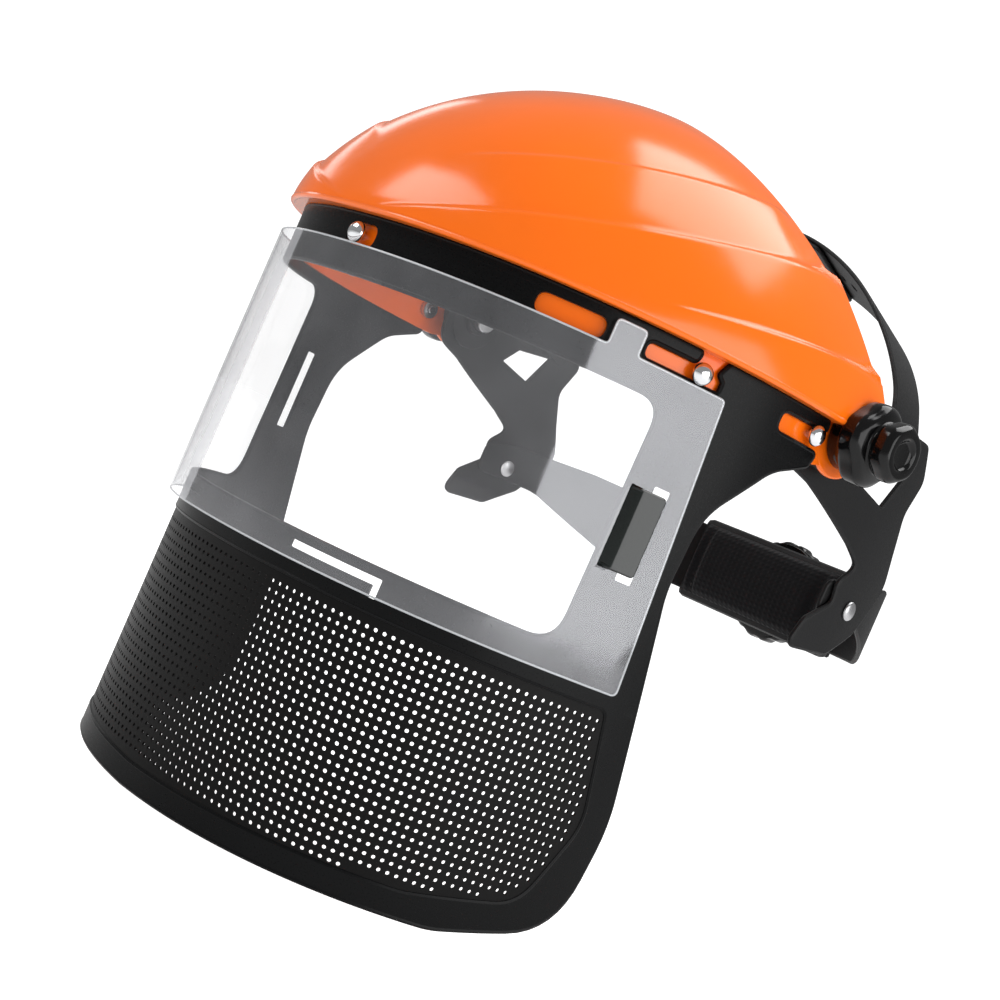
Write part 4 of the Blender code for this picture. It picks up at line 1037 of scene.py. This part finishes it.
def knob_mesh():
    """Four-lobed main disc, a waist and a dished grip cap."""
    base, end, radius = KNOB_LOW.x / MM, KNOB_HIGH.x / MM, KNOB_HIGH.z / MM
    middle, waist = base + 6, base + 15.6
    profile = softened(mm(
        (3.4, base), (11.3, base), (11.3, middle - 0.8), (radius, middle + 0.6),
        (radius, middle + 6.6), (radius - 2, middle + 8.6), (9.3, waist), (9, waist + 1),
        (10.4, waist + 2.2), (10.4, end - 2), (8.8, end), (5.6, end), (4.6, end - 1.4),
        (0, end - 1.4),
    ), 1.3 * MM, 4)

    def lobes(angle, along):
        at = along / MM
        on_disc = smoothstep((at - middle + 1) / 2) * smoothstep((waist - at) / 2)
        on_cap = smoothstep(at - waist - 1) * smoothstep((end - at) / 1.5 + 0.2)
        disc = 0.1 * ((1 - math.cos(4 * angle)) / 2) ** 2
        cap = 0.06 * ((1 - math.cos(6 * angle)) / 2)
        return 1 - disc * on_disc - cap * on_cap

    return turned(profile, steps=120, lobes=lobes)


def build_rivets():
    for kind, inside_layer in (("band", -2.3), ("nape", -2.3), ("strap", -6.4)):
        inner, outer = inside_layer - 0.3, (STRAP_SHEET + GAP) / MM
        shank = (
            (0, inner - 1), (2.4, inner - 0.9), (3.6, inner - 0.4), (3.6, inner), (1.8, inner),
            (1.8, outer), (3.7, outer),
        )
        profile = domed(shank, 3.7 * MM, (outer + 0.3) * MM, 1.2 * MM, 6)
        for tag in ("left", "right"):
            name = f"{kind}_rivet_{tag}"
            origin, axis = fastener_place(name, LOOP)
            mesh = turned(profile, axis, origin, 32)
            add_piece(name + "_finished", mesh, "headgear", STEEL, (name,))


# ---- soft pads

STITCH = 3.2 * MM
THREAD_RADIUS = 0.28 * MM
CLOTH_FRAMES = 20


def puffed(mesh, pressure, cap):
    """Swells a closed pad with Blender's cloth, and limits how far each point may move."""
    scene = bpy.context.scene
    pad = put("pad_simulation", mesh)
    start = points_of(mesh)
    cloth = pad.modifiers.new("cloth", "CLOTH")
    cloth.settings.use_pressure = True
    cloth.settings.uniform_pressure_force = pressure
    cloth.settings.effector_weights.gravity = 0
    cloth.settings.quality = 5
    cloth.collision_settings.use_collision = False
    for number in range(1, CLOTH_FRAMES + 1):
        scene.frame_set(number)
    graph = bpy.context.evaluated_depsgraph_get()
    swollen = points_of(pad.evaluated_get(graph).data)
    scene.frame_set(1)
    move = swollen - start
    size = np.linalg.norm(move, axis=1, keepdims=True)
    move *= np.minimum(1.0, cap / np.maximum(size, 1e-9))
    bpy.data.objects.remove(pad, do_unlink=True)
    move_points(mesh, start + move)
    return mesh


def pad_flat(half_length, low, high, thickness, channels, voxel=1.5 * MM):
    """A pad laid flat (s, z, depth): plane behind, crowned in front, with sewn channels."""
    s = np.linspace(-half_length, half_length, int(2 * half_length / voxel))
    grid_s, grid_z = np.meshgrid(s, np.linspace(low, high, int((high - low) / voxel)))
    centre, half = (low + high) / 2, (high - low) / 2
    across = np.clip(1 - np.abs((grid_z - centre) / half) ** 2.6, 0, 1) ** 0.5
    along = np.clip(1 - np.abs(grid_s / half_length) ** 14, 0, 1) ** 0.5
    crown = across * along
    for channel in channels:
        crown = crown * (1 - 0.55 * np.exp(-((grid_s - channel) / (1.9 * MM)) ** 2))
    front = np.stack([grid_s, grid_z, -0.8 * MM - (thickness - 0.8 * MM) * crown], axis=-1)
    rear = np.stack([grid_s, grid_z, np.zeros_like(grid_s)], axis=-1)
    mesh = joined("pad", [grid_mesh("front", front), grid_mesh("rear", rear)])
    with editing(mesh) as solid:
        bmesh.ops.bridge_loops(solid, edges=[e for e in solid.edges if e.is_boundary])
        bmesh.ops.recalc_face_normals(solid, faces=solid.faces)
    return mesh


def stitches(points, length, radius):
    """Short raised thread beads along a path, one for each stitch."""
    points = np.array(points)
    steps = np.linalg.norm(np.diff(points, axis=0), axis=1)
    total = np.concatenate([[0.0], np.cumsum(steps)])
    parts = []
    count = int(total[-1] / length)
    for k in range(count):
        ends = []
        for share in (0.12, 0.5, 0.88):
            at = (k + share) * length
            ends.append([np.interp(at, total, points[:, axis]) for axis in range(3)])
        parts.append(tube(ends, radius, closed=False, sides=1))
    return joined("stitches", parts)


def add_pad(name, seams_name, mesh, stands_for, rows):
    """A knitted pad and the thread along its seam rows."""
    pad = add_piece(name, mesh, "headgear", FOAM, (stands_for,), 60)
    modify(pad, "SUBSURF", levels=1, render_levels=1)
    seams = joined("seams", [stitches(row, STITCH, THREAD_RADIUS) for row in rows])
    add_piece(seams_name, seams, "headgear", THREAD)


def build_sweatband():
    thickness = 6.2 * MM
    half_length = 77.5 * MM
    channels = [k * 25.8 * MM for k in (-2, -1, 0, 1, 2)]
    back = -STRAP_SHEET - 2 * GAP
    low, high = PAD_LOW.z + 0.5 * MM, PAD_HIGH.z - 0.5 * MM
    mesh = pad_flat(half_length, low, high, thickness, channels)
    puffed(mesh, 2.0, 1.2 * MM)
    places = points_of(mesh)
    places[:, 2] = np.clip(places[:, 2], -thickness - 0.6 * MM, 0.0)
    move_points(mesh, places)
    bend(mesh, LOOP, rise=lambda s: back + 0 * s)
    rows = []
    for z in (low + 2.2 * MM, high - 2.2 * MM):
        s = np.linspace(-half_length + 3 * MM, half_length - 3 * MM, 160)
        rows.append(LOOP.place(s, z, back - thickness * 0.62))
    for channel in channels:
        z = np.linspace(low + 3 * MM, high - 3 * MM, 30)
        rows.append(LOOP.place(np.full_like(z, channel), z, back - thickness * 0.53))
    add_pad("sweatband_cover", "sweatband_seams", mesh, "sweatband", rows)


def build_nape_pad():
    thickness = NAPE_PAD_HIGH.y - NAPE_PAD_LOW.y
    half_length = NAPE_PAD_HIGH.x - 0.5 * MM
    low, high = NAPE_PAD_LOW.z + 0.5 * MM, NAPE_PAD_HIGH.z - 0.5 * MM
    channels = (-half_length + 6 * MM, half_length - 6 * MM)
    mesh = pad_flat(half_length, low, high, thickness - 0.4 * MM, channels)
    puffed(mesh, 2.0, 1.0 * MM)
    s, z, depth = points_of(mesh).T
    depth = np.clip(depth, -thickness - 0.4 * MM, 0.0)
    move_points(mesh, np.stack([s, NAPE_PAD_HIGH.y + depth, z], axis=-1))
    face_outwards(mesh)
    z = np.linspace(low + 3 * MM, high - 3 * MM, 20)
    line = np.full_like(z, NAPE_PAD_HIGH.y - thickness * 0.5)
    rows = [np.stack([np.full_like(z, channel), line, z], axis=-1) for channel in channels]
    add_pad("nape_cushion", "nape_cushion_seams", mesh, "nape_pad", rows)


# ---- nape unit


def build_dial():
    """Ratchet knob: gripping ribs round the rim and a dished face."""
    front, end = (DIAL_LOW.y - RATCHET.y) / MM, (DIAL_HIGH.y - RATCHET.y) / MM
    radius = DIAL_HIGH.x / MM
    profile = softened(mm(
        (4.6, front), (radius - 1.2, front), (radius, front + 1.4), (radius, end - 2.2),
        (radius - 1.8, end), (radius - 5, end), (radius - 6.4, end - 1.6), (6.4, end - 1.2),
        (5.4, end), (3.8, end), (3.6, end - 3), (0.5, end - 3),
    ), 0.9 * MM, 4)

    def ribs(angle, along):
        at = along / MM
        grip = smoothstep((at - front) / 1.5) * smoothstep((end - at) / 1.5 + 0.1)
        return 1 - 0.045 * ((1 - math.cos(18 * angle)) / 2) ** 2 * grip

    mesh = turned(profile, (0, 1, 0), RATCHET, 216, ribs)
    add_piece(
        "ratchet_dial_grip", mesh, "ratchet_dial", KNOB_BLACK, ("ratchet_knob",)
    )


def finish_cad_nodes():
    """Surfaces of the CAD nodes that stay on show."""
    surfaces = {
        "nape_housing": STRAP_BLACK, "nape_cover": STRAP_BLACK, "top_strap_peg": KNOB_BLACK,
        "rack_left": MESH_BLACK, "rack_right": MESH_BLACK, "pinion": MESH_BLACK,
        "ratchet_ring": STEEL, "knob_screw": STEEL, "pivot_bolt_left": STEEL,
        "pivot_bolt_right": STEEL, "knob_insert_left": BRASS, "knob_insert_right": BRASS,
    }
    for name, piece in frame["nodes"].items():
        surface = STEEL if name.startswith("stud_nut") else surfaces.get(name)
        if surface:
            piece.data.materials.clear()
            piece.data.materials.append(surface)


# ---- floor, light and camera

VIEW_AZIMUTH, VIEW_ELEVATION, VIEW_ROLL = (math.radians(a) for a in (45.9, 0.2, 23.6))
VIEW_DISTANCE = 0.636  # metres, like the shift
VIEW_SHIFT = (-0.0254, -0.0668)
LENS = 59.4
SENSOR = 36
SOFTBOX_TARGET = Vector((0, -40 * MM, -50 * MM))

# Strength of the white surroundings: on matt surfaces, in mirrors, and as the backdrop.
FILL_ON_MATT, FILL_IN_MIRRORS, BACKDROP = 0.42, 0.3, 1.25
# The floor's own glow: for everything else, and to the camera.
FLOOR_GLOW = (0.1, 0.9)
FLOOR_DROP = 4 * MM
FLOOR_REACH = 40.0


def view_axes():
    """(across, upward) of the level camera, then (right, up, back) of the rolled one."""
    a, e, r = VIEW_AZIMUTH, VIEW_ELEVATION, VIEW_ROLL
    back = Vector((math.sin(a) * math.cos(e), -math.cos(a) * math.cos(e), math.sin(e)))
    across = Vector((math.cos(a), math.sin(a), 0))
    upward = back.cross(across)
    right = across * math.cos(r) + upward * math.sin(r)
    up = -across * math.sin(r) + upward * math.cos(r)
    return across, upward, right, up, back


def facing_frame(right, up, back, place):
    """A camera's or lamp's matrix from its three axes and its place about the pivot line."""
    turn = Matrix((right, up, back)).transposed().to_4x4()
    return Matrix.Translation(PIVOT + place) @ turn


def add_camera():
    across, upward, right, up, back = view_axes()
    data = bpy.data.cameras.new("main_view")
    data.lens = LENS
    data.sensor_width = SENSOR
    camera = put("main_view", data)
    shift = across * VIEW_SHIFT[0] + upward * VIEW_SHIFT[1]
    camera.matrix_world = facing_frame(right, up, back, back * VIEW_DISTANCE + shift)
    bpy.context.scene.camera = camera


def add_softbox(name, azimuth, elevation, distance, width, height, power):
    """A panel seen from the object at these angles (degrees) from the direction of the camera."""
    _, _, right, up, back = view_axes()
    a, e = math.radians(azimuth), math.radians(elevation)
    way = right * math.sin(a) * math.cos(e) + up * math.sin(e) + back * math.cos(a) * math.cos(e)
    data = bpy.data.lights.new(name, "AREA")
    data.shape = "RECTANGLE"
    data.size = width
    data.size_y = height
    data.energy = power
    side = up.cross(way).normalized()
    place = SOFTBOX_TARGET + way * distance
    put(name, data).matrix_world = facing_frame(side, way.cross(side), way, place)


def add_world():
    """White to the camera, a dimmer fill to everything else."""
    world = bpy.data.worlds.new("studio")
    bpy.context.scene.world = world
    world.use_nodes = True
    tree = world.node_tree
    background = tree.nodes["Background"]
    path = node(tree, "LightPath")
    fill = ranged(tree, path.outputs["Is Glossy Ray"], FILL_ON_MATT, FILL_IN_MIRRORS)
    level = ranged(tree, path.outputs["Is Camera Ray"], fill, BACKDROP)
    background.inputs["Color"].default_value = (1, 1, 1, 1)
    tree.links.new(level, background.inputs["Strength"])


def add_floor():
    """A wide pale floor under the visor's lowest edge, bright enough to meet the backdrop."""
    made, tree, shader, _ = new_material("pale_floor")
    shader.inputs["Roughness"].default_value = 0.9
    shader.inputs["Emission Color"].default_value = (1, 1, 1, 1)
    grain = node(tree, "TexNoise", {"Scale": 3.0, "Detail": 3.0}).outputs["Fac"]
    tree.links.new(ranged(tree, grain, 0.86, 0.9), shader.inputs["Base Color"])
    to_camera = node(tree, "LightPath").outputs["Is Camera Ray"]
    tree.links.new(ranged(tree, to_camera, *FLOOR_GLOW), shader.inputs["Emission Strength"])
    height = CAD_BOX[0].z - FLOOR_DROP
    corners = [
        (x * FLOOR_REACH, y * FLOOR_REACH, height) for x, y in ((-1, -1), (1, -1), (1, 1), (-1, 1))
    ]
    mesh = bpy.data.meshes.new("floor")
    mesh.from_pydata(corners, [], [(0, 1, 2, 3)])
    mesh.materials.append(made)
    put("floor", mesh)


def add_studio():
    add_world()
    add_floor()
    add_softbox("right_panel", 46, -10, 1.6, 1.6, 0.95, 15)
    add_softbox("right_high", 103, 46, 1.6, 1.15, 1.05, 17)
    add_softbox("left_high", -74, 60, 1.5, 0.95, 0.55, 8)
    add_softbox("rear_rim", -155, 37, 1.6, 0.9, 0.2, 1.2)
    bpy.context.scene.view_settings.view_transform = "Standard"
    add_camera()


# ---- assembly

build_crown()
build_visor()
build_mesh_panel()
build_film()
build_studs()
build_temple_plates()
build_bands()
build_top_straps()
build_pivots()
build_rivets()
build_sweatband()
build_nape_pad()
build_dial()
finish_cad_nodes()
add_studio()
